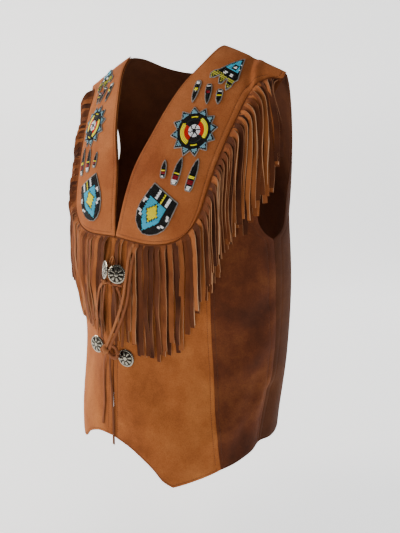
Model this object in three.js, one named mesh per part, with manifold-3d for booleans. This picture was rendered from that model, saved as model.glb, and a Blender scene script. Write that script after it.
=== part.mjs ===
// Fringed suede vest with beaded yokes, silver conchos and lace ties, in the hollow form it has when worn.
//
// Frame: millimetres, +Z up, the front faces -Y and the wearer's left is +X.
// The origin is on the shoulder line, midway between the two sides of the neck.
//
// All leather follows one body surface. A place on it is [turn, rise]: turn goes round the body in radians,
// -PI/2 at the centre front, 0 at the left side seam and +PI/2 at the centre back; rise is the height above
// the chest line, and SHOULDER_RISE is the shoulder line. A lift is a distance out from that surface.

import * as THREE from 'three';
import { mergeVertices } from 'three/addons/utils/BufferGeometryUtils.js';
import Module from 'manifold-3d';

const wasm = await Module();
wasm.setup();

// ---------- leather ----------
const WALL = 2.0;
const YOKE_WALL = 1.6;
const STRAND_WALL = 1.4;
const SEAM_GAP = 0.3;
const YOKE_LIFT = 0.9;
const STRIP_LIFT = 0.9;
const STRIP_WALL = 1.9;

// ---------- body surface ----------
const CHEST_Z = -235;
const SHOULDER_RISE = 300;
const SHOULDER_Y = 6;
const NECK_X = 98.9;
const SHOULDER_TIP_X = 204.7;
const SHOULDER_SLOPE = Math.tan(THREE.MathUtils.degToRad(22.4));
const NECK_SLOPE = 0.22;
const NECK_BLEND = 14;
const ROUNDNESS = 2.32;
const CHEST_FLARE = 0.06;
const FRONT_BOW = { power: 1.62, root: 0.8, lean: 0.35 };
const BACK_BOW = 0.425;
const PROW_WIDTH = 70;

// Half width, depth to the front and to the back of the centre, the centre's y, and how far the closed
// centre front stands proud, at each height.
const GIRTHS = [
  { z: -700, half: 182.1, front: 144.8, back: 136.3, centre: 5.8, prow: 3.9 },
  { z: -600, half: 182.1, front: 142.8, back: 134.3, centre: 5.8, prow: 3.9 },
  { z: -450, half: 194.3, front: 124.6, back: 124.5, centre: 15.2, prow: 24.0 },
  { z: -330, half: 200.3, front: 128.2, back: 128.7, centre: 7.0, prow: 8.3 },
  { z: CHEST_Z, half: 193.4, front: 118.0, back: 131.6, centre: 2.6, prow: -2.9 },
];

// Soft folds: a ridge (height > 0) or trough (height < 0) from one place to another, in degrees round the
// body and millimetres of height, with its half width.
const MM_PER_DEGREE = 2.9;
const FOLDS = [
  { turn: 1, z: -500, toTurn: 1, toZ: -600, height: -6, width: 15 },
  { turn: 178, z: -500, toTurn: 178, toZ: -600, height: -3, width: 18 },
  { turn: -30, z: -452, toTurn: -8, toZ: -415, height: 3, width: 20 },
  { turn: -24, z: -395, toTurn: -6, toZ: -350, height: -2.5, width: 20 },
  { turn: -28, z: -548, toTurn: -8, toZ: -505, height: 2.6, width: 18 },
  { turn: -150, z: -440, toTurn: -172, toZ: -410, height: 2.6, width: 20 },
  { turn: -62, z: -520, toTurn: -74, toZ: -478, height: -1.8, width: 20 },
  { turn: 62, z: -420, toTurn: 55, toZ: -610, height: 5, width: 24 },
  { turn: 84, z: -440, toTurn: 86, toZ: -610, height: -4, width: 22 },
  { turn: 112, z: -400, toTurn: 120, toZ: -610, height: 5, width: 24 },
  { turn: 70, z: -140, toTurn: 60, toZ: -300, height: -3, width: 26 },
  { turn: 110, z: -140, toTurn: 118, toZ: -300, height: -3, width: 26 },
];

// ---------- seams and edges, as x and z seen from the front unless said otherwise ----------
const V_Z = -262.2;
const CENTRE_GAP = 1.2;
const HEM_GAP = 5.5;
const GAP_TOP_Z = -460;
const CENTRE_HEM_Z = -585;
const SIDE_HEM_Z = -588;
const BACK_HEM_Z = -586;
const ARMHOLE_Z = -261.3;

const NECK_EDGE = [
  { x: CENTRE_GAP, z: V_Z },
  { x: 17.5, z: -172 },
  { x: 42, z: -115 },
  { x: 65, z: -60 },
  { x: 86, z: -24 },
];
const PRINCESS_SEAM = [
  { z: -610, x: 164.5 },
  { z: -556, x: 160 },
  { z: -492, x: 154 },
  { z: -430, x: 151.5 },
  { z: -338, x: 155 },
  { z: -235, x: 153 },
  { z: -120, x: 149 },
  { z: -20, x: 146 },
];
const FRONT_HEM = [
  { x: 36, z: -591 },
  { x: 62, z: -603 },
  { x: 80, z: -615 },
  { x: 96, z: -631 },
  { x: 110.5, z: -638 },
  { x: 138, z: -623 },
  { x: 164, z: -606.5 },
];
const HEM_POINT = 4;
// Armhole places in degrees from the side seam and height, then x and z up to the shoulder tip.
const FRONT_ARMHOLE = { low: [[-7, -249], [-11, -235]], high: [[189, -203], [184, -150], [187, -100], [196, -66]] };
const BACK_ARMHOLE = { low: [[8, -250], [13, -233]], high: [[191, -200], [189, -150], [192, -100], [199, -68]] };
const BACK_NECK = [
  { x: 82, z: -12 },
  { x: 52, z: -22 },
  { x: 0, z: -27 },
];

const YOKE_FOOT = [
  { x: CENTRE_GAP, z: -265.5 },
  { x: 35, z: -267.5 },
  { x: 65, z: -268.5 },
  { x: 93, z: -265 },
  { x: 109, z: -259 },
  { x: 121, z: -250 },
];
const YOKE_SIDE = [
  { x: 121, z: -250 },
  { x: 131, z: -236 },
  { x: 137.5, z: -219 },
  { x: 142, z: -193 },
  { x: 146.5, z: -163 },
  { x: 154, z: -126 },
  { x: 160.5, z: -97 },
  { x: 166, z: -71 },
  { x: 174, z: -55 },
  { x: 187, z: -48 },
  { x: 201, z: -49 },
];

// ---------- fringe ----------
const STRAND_PITCH = 9.2;
const STRAND_WIDTH = 7;
const STRIP = { inner: 0.9, outer: 5 };
const STRAND_TURN = 15;
const STRAND_STATIONS = [0, 8, 17, 38, 85];
const FRINGE_START = { left: 9, right: 19 };
// Strand length on each side of the body, along the yoke's edge from the centre front (0) to the shoulder (1).
const STRAND_LENGTHS = [
  { at: 0, left: 157, right: 151 },
  { at: 0.11, left: 157, right: 151 },
  { at: 0.13, left: 174, right: 152 },
  { at: 0.25, left: 170, right: 163 },
  { at: 0.3, left: 160, right: 170 },
  { at: 0.34, left: 145, right: 166 },
  { at: 0.4, left: 124, right: 152 },
  { at: 0.46, left: 126, right: 142 },
  { at: 0.6, left: 130, right: 134 },
  { at: 0.7, left: 133, right: 136 },
  { at: 0.78, left: 150, right: 148 },
  { at: 0.87, left: 155, right: 150 },
  { at: 0.93, left: 140, right: 138 },
  { at: 0.98, left: 96, right: 100 },
];
const SLEEVE_LIFT = 13;
const SHOULDER_FAN = 0.07;
const LANE = 1.6;
const HANG_STATION = 2;
const STEM_CLEARANCE = 5.6;

// ---------- beadwork ----------
const BEAD_LIFT = YOKE_LIFT + YOKE_WALL + 0.45;
const BEAD_WALL = 1.5;
const RIGHT_RAISE = 5.5;
const ROSETTE = { x: 111, z: -115.7, points: 12, turn: 10, tip: 34.5, valley: 26 };
const SHIELD = { x: 72.2, z: -228, width: 49.5, height: 73, lean: 29 };
const ARROWHEAD = { x: 136.6, z: -36.4, lean: 31 };
// Feathers: centre, length, width and lean in degrees towards the shoulder.
const FEATHERS = [
  { name: 'upper_inner', x: 95, z: -64, length: 32, width: 8.5, lean: 4 },
  { name: 'upper_middle', x: 114.5, z: -68, length: 28.5, width: 8.5, lean: -4 },
  { name: 'upper_outer', x: 131, z: -72, length: 20.5, width: 8.5, lean: 0 },
  { name: 'lower_inner', x: 77, z: -166, length: 24, width: 8.5, lean: 0 },
  { name: 'lower_middle', x: 99.3, z: -167.6, length: 38, width: 10.5, lean: 12 },
  { name: 'lower_outer', x: 121.8, z: -171.5, length: 45, width: 10.5, lean: 15 },
];

// ---------- conchos and ties ----------
const CONCHO = { radius: 13.8, rim: 0.9, dome: 3.2, stem: 1.5 };
// Place of each concho, its lift, its turn towards the wearer's left, and the length of the stem behind it.
const CONCHOS = [
  { name: 'concho_upper_right', x: -4, z: -315, lift: 10.6, swing: -24, stem: 10.2 },
  { name: 'concho_upper_left', x: 21.5, z: -317, lift: 10.6, swing: 24, stem: 10.2 },
  { name: 'concho_lower_right', x: -37, z: -442, lift: 6.6, swing: 24, stem: 6.2 },
  { name: 'concho_lower_left', x: 27, z: -447, lift: 0.45, swing: 0, stem: 0 },
];
const LACE = { width: 4.6, wall: 1.4 };
// Lace ends: name, and points of x, z and the lift of the lace's middle.
const LACES = [
  { name: 'lace_upper_1', points: [[-10, -335.9, 9], [-20, -345, 7.4], [-28, -368, 6.4], [-33, -398, 6.3], [-35, -424, 6.3]] },
  { name: 'lace_upper_2', points: [[-4, -336.6, 9.2], [-9, -350, 7.2], [-13, -372, 6.4], [-16, -400, 6.3], [-17, -424, 6.3]] },
  { name: 'lace_upper_3', points: [[13, -335.1, 8.8], [15.5, -350, 6.9], [16, -375, 6.3], [14.5, -404, 6.3], [13.5, -429, 6.3]] },
  { name: 'lace_upper_4', points: [[20, -335.6, 8.6], [26, -349, 6.9], [28.5, -372, 6.3], [27, -402, 6.3], [24.5, -428, 6.3]] },
  { name: 'lace_lower_1', points: [[-10.5, -448.1, 5.2], [-20, -466, 3], [-23, -495, 1.9], [-21, -530, 1.8], [-25, -572, 1.8]] },
  { name: 'lace_lower_2', points: [[0, -447.8, 5.2], [-4, -468, 3], [-1, -505, 1.9], [3, -550, 1.9], [4.5, -597, 1.9]] },
  { name: 'lace_cross_1', points: [[43, -271.5, 3.9], [39, -288, 7.6], [36.5, -322, 8.9], [31, -354, 9], [17.5, -389, 9], [1, -424, 9.2], [-7.5, -437.5, 8.2]] },
  { name: 'lace_cross_2', points: [[50.5, -272, 3.9], [46.5, -290, 7.6], [44, -325, 8.9], [38, -357, 9], [24, -392, 9], [8, -425, 9.2], [1, -437.5, 8.2]] },
];
const LACE_STEP = 10;
const KNOT_DETAIL = 0.12;
const TAB = { x: 2, z: -304, length: 22, width: 7.5, wall: 1.6, slit: 9, slitWidth: 2.4, lean: 20, lift: 5.2 };

// ---------- colours ----------
const SUEDE = { color: 0xb8723c, roughness: 0.95, metalness: 0 };
const SIDE_SUEDE = { color: 0x8a4f2a, roughness: 0.95, metalness: 0 };
const YOKE_SUEDE = { color: 0xbb743c, roughness: 0.95, metalness: 0 };
const FRINGE_SUEDE = { color: 0x9a6038, roughness: 0.95, metalness: 0 };
const LACE_LEATHER = { color: 0x9c6236, roughness: 0.85, metalness: 0 };
const BEADS = { color: 0x1c1d24, roughness: 0.3, metalness: 0 };
const SILVER = { color: 0xc8c6c0, roughness: 0.25, metalness: 1 };

const SEAM_HALF = SEAM_GAP / 2;
const vest = new THREE.Group();

// ---------- body surface functions ----------

// Cubic through a table's rows at height z, with slopes taken from the neighbouring rows.
function tableAt(rows, key, z) {
  const last = rows.length - 1;
  const at = THREE.MathUtils.clamp(z, rows[0].z, rows[last].z);
  let k = 0;
  while (k < last - 1 && at > rows[k + 1].z) k += 1;
  const slope = (i) => (rows[i + 1][key] - rows[i][key]) / (rows[i + 1].z - rows[i].z);
  const tangent = (i) => {
    if (i === 0) return slope(0);
    if (i === last) return slope(last - 1);
    const before = rows[i].z - rows[i - 1].z;
    const after = rows[i + 1].z - rows[i].z;
    return (slope(i - 1) * after + slope(i) * before) / (before + after);
  };
  const span = rows[k + 1].z - rows[k].z;
  const s = (at - rows[k].z) / span;
  const s2 = s * s;
  const s3 = s2 * s;
  return (2 * s3 - 3 * s2 + 1) * rows[k][key] + (s3 - 2 * s2 + s) * span * tangent(k)
    + (3 * s2 - 2 * s3) * rows[k + 1][key] + (s3 - s2) * span * tangent(k + 1);
}

// Height of the shoulder line: gentle over the neck, then down to the tip.
function shoulderZ(x) {
  const past = Math.abs(x) - NECK_X;
  const eased = NECK_BLEND * Math.log1p(Math.exp(past / NECK_BLEND));
  return -eased * (SHOULDER_SLOPE - NECK_SLOPE) - past * NECK_SLOPE;
}

// Point of the smooth body: superellipse girths below the chest, closing to the shoulder line above it.
function bodyPoint([turn, rise]) {
  const z = CHEST_Z + Math.min(rise, 0);
  const cos = Math.cos(turn);
  const sin = Math.sin(turn);
  const round = 2 / ROUNDNESS;
  const xGirth = tableAt(GIRTHS, 'half', z) * Math.sign(cos) * Math.abs(cos) ** round;
  const depth = tableAt(GIRTHS, sin < 0 ? 'front' : 'back', z);
  const prow = sin < 0 ? tableAt(GIRTHS, 'prow', z) * Math.exp(-((xGirth / PROW_WIDTH) ** 2)) : 0;
  const yGirth = tableAt(GIRTHS, 'centre', z) + depth * Math.sign(sin) * Math.abs(sin) ** round - prow;
  if (rise <= 0) return new THREE.Vector3(xGirth, yGirth, z);
  const t = Math.sin(Math.min(rise / SHOULDER_RISE, 1) * Math.PI / 2);
  const x = xGirth * (1 + CHEST_FLARE * t);
  const frontBow = Math.max(1 - t ** FRONT_BOW.power, 0) ** FRONT_BOW.root - FRONT_BOW.lean * t * (1 - t) ** 2;
  const bow = sin < 0 ? frontBow : Math.max(1 - t * t, 0) ** BACK_BOW;
  return new THREE.Vector3(x, SHOULDER_Y + (yGirth - SHOULDER_Y) * bow, CHEST_Z + (shoulderZ(x) - CHEST_Z) * t);
}

// Steps of the surface along turn (per radian) and rise (per millimetre).
function bodySteps([turn, rise]) {
  const dTurn = 0.002;
  const dRise = 0.5;
  const across = bodyPoint([turn + dTurn, rise]).sub(bodyPoint([turn - dTurn, rise])).divideScalar(2 * dTurn);
  const up = bodyPoint([turn, rise + dRise]).sub(bodyPoint([turn, rise - dRise])).divideScalar(2 * dRise);
  return { across, up };
}

function onShoulder(rise) {
  return rise > SHOULDER_RISE - 1;
}

// Outward normal. On the shoulder line front and back share the normal of that line.
function bodyNormal(place) {
  if (onShoulder(place[1])) {
    const x = bodyPoint(place).x;
    const slope = (shoulderZ(x + 1) - shoulderZ(x - 1)) / 2;
    return new THREE.Vector3(-slope, 0, 1).normalize();
  }
  const { across, up } = bodySteps(place);
  return across.cross(up).normalize();
}

// Height of the soft folds at a place.
function foldHeight([turn, rise]) {
  const z = rise <= 0 ? CHEST_Z + rise : bodyPoint([turn, rise]).z;
  const degrees = THREE.MathUtils.euclideanModulo(THREE.MathUtils.radToDeg(turn) + 180, 360) - 180;
  let height = 0;
  for (const fold of FOLDS) {
    const away = THREE.MathUtils.euclideanModulo(degrees - fold.turn + 180, 360) - 180;
    const run = new THREE.Vector2((fold.toTurn - fold.turn) * MM_PER_DEGREE, fold.toZ - fold.z);
    const from = new THREE.Vector2(away * MM_PER_DEGREE, z - fold.z);
    const along = THREE.MathUtils.clamp(from.dot(run) / run.lengthSq(), 0, 1);
    const off = from.distanceTo(run.multiplyScalar(along));
    height += fold.height * Math.exp(-((off / fold.width) ** 2));
  }
  return height;
}

// Point of the leather at a lift from the body. Shoulder seams part by the seam gap.
function leatherPoint(place, lift) {
  const point = bodyPoint(place);
  point.addScaledVector(bodyNormal(place), lift + foldHeight(place));
  if (onShoulder(place[1])) point.y += Math.sin(place[0]) < 0 ? -SEAM_HALF : SEAM_HALF;
  return point;
}

// The place seen from the front (or back) at x and z.
function placeAt(x, z, back = false) {
  const share = THREE.MathUtils.clamp((z - CHEST_Z) / (shoulderZ(x) - CHEST_Z), 0, 1);
  const rise = z <= CHEST_Z ? z - CHEST_Z : SHOULDER_RISE * Math.asin(share) * 2 / Math.PI;
  const half = tableAt(GIRTHS, 'half', Math.min(z, CHEST_Z)) * (1 + CHEST_FLARE * share);
  const acute = Math.acos(Math.min(Math.abs(x) / half, 1) ** (ROUNDNESS / 2));
  const turn = x < 0 ? Math.PI - acute : acute;
  return [back ? turn : -turn, rise];
}

function shoulderPlace(x, back = false) {
  return [placeAt(x, shoulderZ(x), back)[0], SHOULDER_RISE];
}

// The same place on the other side of the body.
function mirrored([turn, rise]) {
  return [Math.PI - turn, rise];
}

// The place reached by moving a short way along a direction in the surface.
function slide(place, direction, distance) {
  const { across, up } = bodySteps(place);
  const aa = across.dot(across);
  const bb = up.dot(up);
  const ab = across.dot(up);
  const da = across.dot(direction) * distance;
  const db = up.dot(direction) * distance;
  const det = aa * bb - ab * ab;
  return [place[0] + (da * bb - db * ab) / det, place[1] + (db * aa - da * ab) / det];
}

// Unit directions in the surface: down under gravity, and across towards the wearer's left.
function surfaceDown(normal) {
  return new THREE.Vector3(0, 0, -1).addScaledVector(normal, normal.z).normalize();
}

// ---------- curves of places ----------

// A smooth curve through places, as a function of a share from 0 to 1 along it.
function placeCurve(places) {
  const scale = 160;
  const points = places.map(([turn, rise]) => new THREE.Vector3(turn * scale, rise, 0));
  const curve = new THREE.CatmullRomCurve3(points, false, 'centripetal');
  return (share) => {
    const point = curve.getPointAt(THREE.MathUtils.clamp(share, 0, 1));
    return [point.x / scale, point.y];
  };
}

// Two curves joined at a share of the whole.
function joined(first, second, at) {
  return (share) => (share <= at ? first(share / at) : second((share - at) / (1 - at)));
}

function shifted(curve, turn) {
  return (share) => {
    const [t, rise] = curve(share);
    return [t + turn, rise];
  };
}

// ---------- solids ----------

// A closed slab between an outer and an inner grid of points, given as rows from the bottom up.
// Each face of the grid is split along its shorter diagonal.
function slab(outer, inner) {
  const rows = outer.length;
  const columns = outer[0].length;
  const points = [...outer.flat(), ...inner.flat()];
  const positions = points.flatMap((p) => [p.x, p.y, p.z]);
  const index = [];
  const out = (j, i) => j * columns + i;
  const inn = (j, i) => rows * columns + j * columns + i;
  const quad = (a, b, c, d) => {
    if (points[a].distanceTo(points[c]) < points[b].distanceTo(points[d]) + 1e-6) index.push(a, b, c, a, c, d);
    else index.push(a, b, d, b, c, d);
  };
  for (let j = 0; j < rows - 1; j += 1) {
    for (let i = 0; i < columns - 1; i += 1) {
      quad(out(j, i), out(j, i + 1), out(j + 1, i + 1), out(j + 1, i));
      quad(inn(j, i), inn(j + 1, i), inn(j + 1, i + 1), inn(j, i + 1));
    }
    quad(out(j, 0), out(j + 1, 0), inn(j + 1, 0), inn(j, 0));
    quad(out(j, columns - 1), inn(j, columns - 1), inn(j + 1, columns - 1), out(j + 1, columns - 1));
  }
  for (let i = 0; i < columns - 1; i += 1) {
    quad(out(0, i), inn(0, i), inn(0, i + 1), out(0, i + 1));
    quad(out(rows - 1, i), out(rows - 1, i + 1), inn(rows - 1, i + 1), inn(rows - 1, i));
  }
  const geometry = new THREE.BufferGeometry();
  geometry.setAttribute('position', new THREE.Float32BufferAttribute(positions, 3));
  geometry.setIndex(index);
  return geometry;
}

function addPiece(name, geometry, finish) {
  geometry.computeVertexNormals();
  const mesh = new THREE.Mesh(geometry, new THREE.MeshStandardMaterial(finish));
  mesh.name = name;
  vest.add(mesh);
  return mesh;
}

// A leather panel filled in between four curves of places, with its wall between two lifts.
// The curves run from the centre to the side and from the bottom up; side -1 mirrors the panel.
function panel({ bottom, top, inner, outer, across, levels, low, high, side }) {
  const columns = [...Array(across + 1).keys()].map((i) => i / across);
  const placeFor = (u, v) => {
    const blend = (k) => (1 - v) * bottom(u)[k] + v * top(u)[k] + (1 - u) * inner(v)[k] + u * outer(v)[k]
      - (1 - u) * (1 - v) * inner(0)[k] - u * (1 - v) * outer(0)[k]
      - (1 - u) * v * inner(1)[k] - u * v * outer(1)[k];
    const place = [blend(0), blend(1)];
    return side < 0 ? mirrored(place) : place;
  };
  const order = side < 0 ? [...columns].reverse() : columns;
  const grid = levels.map((v) => order.map((u) => placeFor(u, v)));
  const atLift = (lift) => grid.map((row) => row.map((place) => leatherPoint(place, lift)));
  return slab(atLift(high), atLift(low));
}

// Shares from 0 to 1 with a row at the split.
function splitLevels(split, below, above) {
  const lower = [...Array(below).keys()].map((k) => split * k / below);
  const upper = [...Array(above + 1).keys()].map((k) => split + (1 - split) * k / above);
  return [...lower, ...upper];
}

// The same faces on shared points, without the flat faces a turned shape has on its axis.
function welded(geometry) {
  const bare = geometry.clone();
  bare.deleteAttribute('normal');
  bare.deleteAttribute('uv');
  const shared = mergeVertices(bare, 1e-3);
  const faces = [];
  for (let k = 0; k < shared.index.count; k += 3) {
    const [a, b, c] = shared.index.array.slice(k, k + 3);
    if (a !== b && b !== c && c !== a) faces.push(a, b, c);
  }
  shared.setIndex(faces);
  return shared;
}

function toManifold(geometry) {
  const shared = welded(geometry);
  return new wasm.Manifold(new wasm.Mesh({
    numProp: 3,
    vertProperties: new Float32Array(shared.attributes.position.array),
    triVerts: new Uint32Array(shared.index.array),
  }));
}

function toGeometry(solid) {
  const mesh = solid.getMesh();
  const geometry = new THREE.BufferGeometry();
  geometry.setAttribute('position', new THREE.Float32BufferAttribute(mesh.vertProperties, 3));
  geometry.setIndex([...mesh.triVerts]);
  return geometry;
}

function united(geometries) {
  return toGeometry(geometries.map(toManifold).reduce((whole, next) => whole.add(next)).simplify(KNOT_DETAIL));
}

// A flat strap along stations, each with a middle, a direction across and a direction of thickness.
function strap(stations, width, wall) {
  const corner = ({ middle, across, thick }, a, b) => middle.clone()
    .addScaledVector(across, a * width / 2).addScaledVector(thick, b * wall / 2);
  const outer = stations.map((s) => [corner(s, -1, 1), corner(s, 1, 1)]);
  const inner = stations.map((s) => [corner(s, -1, -1), corner(s, 1, -1)]);
  return slab(outer, inner);
}

// ---------- seam curves ----------

function frontPlaces(table) {
  return table.map(({ x, z }) => placeAt(x, z));
}

function centreX(z) {
  const share = THREE.MathUtils.clamp((GAP_TOP_Z - z) / (GAP_TOP_Z - CENTRE_HEM_Z), 0, 1);
  return CENTRE_GAP + (HEM_GAP - CENTRE_GAP) * share * share;
}

function centreEdge(share) {
  const z = THREE.MathUtils.lerp(CENTRE_HEM_Z, V_Z, share);
  return placeAt(centreX(z), z);
}

const neckCurve = placeCurve([...frontPlaces(NECK_EDGE), shoulderPlace(NECK_X)]);
const SPLIT = 0.56;
const centreCurve = joined(centreEdge, neckCurve, SPLIT);

const princessHem = FRONT_HEM[FRONT_HEM.length - 1];
const princessTop = PRINCESS_SEAM[PRINCESS_SEAM.length - 1];
function princessPlace(z) {
  return placeAt(tableAt(PRINCESS_SEAM, 'x', z), z);
}
const princessBelow = (share) => princessPlace(THREE.MathUtils.lerp(princessHem.z, ARMHOLE_Z, share));
const princessAbove = placeCurve([
  ...[ARMHOLE_Z, -220, -170, -120, -75].map(princessPlace), shoulderPlace(princessTop.x),
]);
const princessCurve = joined(princessBelow, princessAbove, SPLIT);
const princessTurn = SEAM_HALF / 150;

const SIDE_TURN = (SEAM_HALF / 128) ** (ROUNDNESS / 2);
function armholeCurve({ low, high }, back) {
  const start = [(back ? 1 : -1) * SIDE_TURN, ARMHOLE_Z - CHEST_Z];
  const lower = low.map(([degrees, z]) => [THREE.MathUtils.degToRad(degrees), z - CHEST_Z]);
  const upper = high.map(([x, z]) => placeAt(x, z, back));
  return placeCurve([start, ...lower, ...upper, shoulderPlace(SHOULDER_TIP_X, back)]);
}
function sideEdge(hemZ, back) {
  return (share) => [(back ? 1 : -1) * SIDE_TURN, THREE.MathUtils.lerp(hemZ, ARMHOLE_Z, share) - CHEST_Z];
}

function shoulderCurve(fromX, toX, back = false) {
  return (share) => shoulderPlace(THREE.MathUtils.lerp(fromX, toX, share), back);
}

// ---------- body panels ----------

const hemStart = placeAt(centreX(CENTRE_HEM_Z), CENTRE_HEM_Z);
const hemBefore = placeCurve([hemStart, ...frontPlaces(FRONT_HEM.slice(0, HEM_POINT + 1))]);
const hemAfter = placeCurve(frontPlaces(FRONT_HEM.slice(HEM_POINT)));
const centreHem = joined(hemBefore, hemAfter, 0.625);
const sideHem = placeCurve([
  placeAt(princessHem.x, princessHem.z), placeAt(175, -600), [THREE.MathUtils.degToRad(-9), -593.5 - CHEST_Z],
  [-SIDE_TURN, SIDE_HEM_Z - CHEST_Z],
]);
const frontLevels = splitLevels(SPLIT, 11, 12);

function buildFront(side, label) {
  const centre = panel({
    bottom: shifted(centreHem, 0),
    top: shoulderCurve(NECK_X, princessTop.x),
    inner: centreCurve,
    outer: shifted(princessCurve, -princessTurn),
    across: 8,
    levels: frontLevels,
    low: -WALL,
    high: 0,
    side,
  });
  addPiece(`front_centre_${label}`, centre, SUEDE);
  const sidePanel = panel({
    bottom: sideHem,
    top: shoulderCurve(princessTop.x, SHOULDER_TIP_X),
    inner: shifted(princessCurve, princessTurn),
    outer: joined(sideEdge(SIDE_HEM_Z, false), armholeCurve(FRONT_ARMHOLE, false), SPLIT),
    across: 6,
    levels: frontLevels,
    low: -WALL,
    high: 0,
    side,
  });
  addPiece(`front_side_${label}`, sidePanel, SIDE_SUEDE);
}

function buildBack() {
  const left = joined(sideEdge(SIDE_HEM_Z, true), armholeCurve(BACK_ARMHOLE, true), SPLIT);
  const hem = placeCurve([
    [SIDE_TURN, SIDE_HEM_Z - CHEST_Z],
    [THREE.MathUtils.degToRad(45), BACK_HEM_Z - 2 - CHEST_Z],
    [THREE.MathUtils.degToRad(90), BACK_HEM_Z - CHEST_Z],
  ]);
  const neck = placeCurve([
    shoulderPlace(NECK_X, true), ...BACK_NECK.map(({ x, z }) => placeAt(x, z, true)),
  ]);
  const halfTop = joined(shoulderCurve(SHOULDER_TIP_X, NECK_X, true), neck, 0.5);
  const whole = (half) => (share) => (share <= 0.5 ? half(share * 2) : mirrored(half((1 - share) * 2)));
  const back = panel({
    bottom: whole(hem),
    top: whole(halfTop),
    inner: left,
    outer: (share) => mirrored(left(share)),
    across: 16,
    levels: splitLevels(SPLIT, 9, 10),
    low: -WALL,
    high: 0,
    side: 1,
  });
  addPiece('back', back, SUEDE);
}

// ---------- yokes ----------

const yokeFoot = placeCurve(frontPlaces(YOKE_FOOT));
const yokeSide = placeCurve([...frontPlaces(YOKE_SIDE), shoulderPlace(SHOULDER_TIP_X - 1)]);
const yokeNeck = placeCurve([
  placeAt(YOKE_FOOT[0].x, YOKE_FOOT[0].z), ...frontPlaces(NECK_EDGE), shoulderPlace(NECK_X),
]);

function buildYoke(side, label) {
  const yoke = panel({
    bottom: yokeFoot,
    top: shoulderCurve(NECK_X, SHOULDER_TIP_X - 1),
    inner: yokeNeck,
    outer: yokeSide,
    across: 8,
    levels: splitLevels(0.8, 12, 6),
    low: YOKE_LIFT,
    high: YOKE_LIFT + YOKE_WALL,
    side,
  });
  addPiece(`yoke_${label}`, yoke, YOKE_SUEDE);
}

// ---------- fringe ----------

// Places evenly spaced along the yoke's free edge, each with the outward direction in the surface.
function fringeEdge() {
  const places = [];
  const steps = 200;
  const corner = YOKE_SIDE[YOKE_SIDE.length - 1];
  let end = 1;
  while (bodyPoint(yokeSide(end)).z > corner.z + 0.4 || bodyPoint(yokeSide(end)).x > corner.x - 1.5) end -= 0.002;
  for (let k = 0; k < steps; k += 1) places.push(yokeFoot(k / steps));
  for (let k = 0; k <= steps; k += 1) places.push(yokeSide(end * k / steps));
  const lengths = [0];
  for (let k = 1; k < places.length; k += 1) {
    lengths.push(lengths[k - 1] + bodyPoint(places[k]).distanceTo(bodyPoint(places[k - 1])));
  }
  const total = lengths[lengths.length - 1];
  const at = (distance) => {
    let k = 1;
    while (k < lengths.length - 1 && lengths[k] < distance) k += 1;
    const share = (distance - lengths[k - 1]) / Math.max(lengths[k] - lengths[k - 1], 1e-6);
    const [a, b] = [places[k - 1], places[k]];
    return [THREE.MathUtils.lerp(a[0], b[0], share), THREE.MathUtils.lerp(a[1], b[1], share)];
  };
  return { total, at };
}

const edge = fringeEdge();

function edgeFrame(distance) {
  const place = edge.at(distance);
  const normal = bodyNormal(place);
  const ahead = bodyPoint(edge.at(Math.min(distance + 3, edge.total)));
  const behind = bodyPoint(edge.at(Math.max(distance - 3, 0)));
  const along = ahead.sub(behind).normalize();
  const outward = along.clone().cross(normal).normalize();
  return { place, normal, along, outward };
}

function strandLength(share, index, side) {
  let k = 0;
  while (k < STRAND_LENGTHS.length - 2 && share > STRAND_LENGTHS[k + 1].at) k += 1;
  const [from, to] = [STRAND_LENGTHS[k], STRAND_LENGTHS[k + 1]];
  const key = side < 0 ? 'right' : 'left';
  const length = THREE.MathUtils.lerp(from[key], to[key], (share - from.at) / (to.at - from.at));
  return length * (1 + 0.025 * Math.sin(index * 2.4) + 0.015 * Math.sin(index * 5.1));
}

// The route of one strand on the left side: out from the strip, over and down, then hanging free.
// Shoulder strands fan outwards over the arm.
function strandRoute(distance, length) {
  const { place, outward } = edgeFrame(distance);
  const fan = SHOULDER_FAN * THREE.MathUtils.smoothstep(distance / edge.total, 0.8, 1);
  const route = [];
  let at = slide(place, outward, STRIP.outer);
  let walked = 0;
  for (const station of [...STRAND_STATIONS, length]) {
    let heading = outward;
    while (walked < station - 1e-6) {
      const pace = Math.min(1, station - walked);
      const normal = bodyNormal(at);
      const turned = THREE.MathUtils.smoothstep(walked, 0, STRAND_TURN);
      const down = surfaceDown(normal);
      heading = outward.clone().multiplyScalar(1 - turned).addScaledVector(down, turned);
      const sway = turned * (0.05 * Math.sin(bodyPoint(at).z / 34) - fan);
      heading.addScaledVector(down.clone().cross(normal), sway);
      heading.addScaledVector(normal, -heading.dot(normal)).normalize();
      at = slide(at, heading, pace);
      walked += pace;
    }
    route.push({ place: at, heading, walked });
  }
  return route;
}

// Distance round the body between two strands where they begin to hang.
function lanePitch(route, other) {
  const place = route[HANG_STATION].place;
  return (place[0] - other[HANG_STATION].place[0]) * bodySteps(place).across.length();
}

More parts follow.
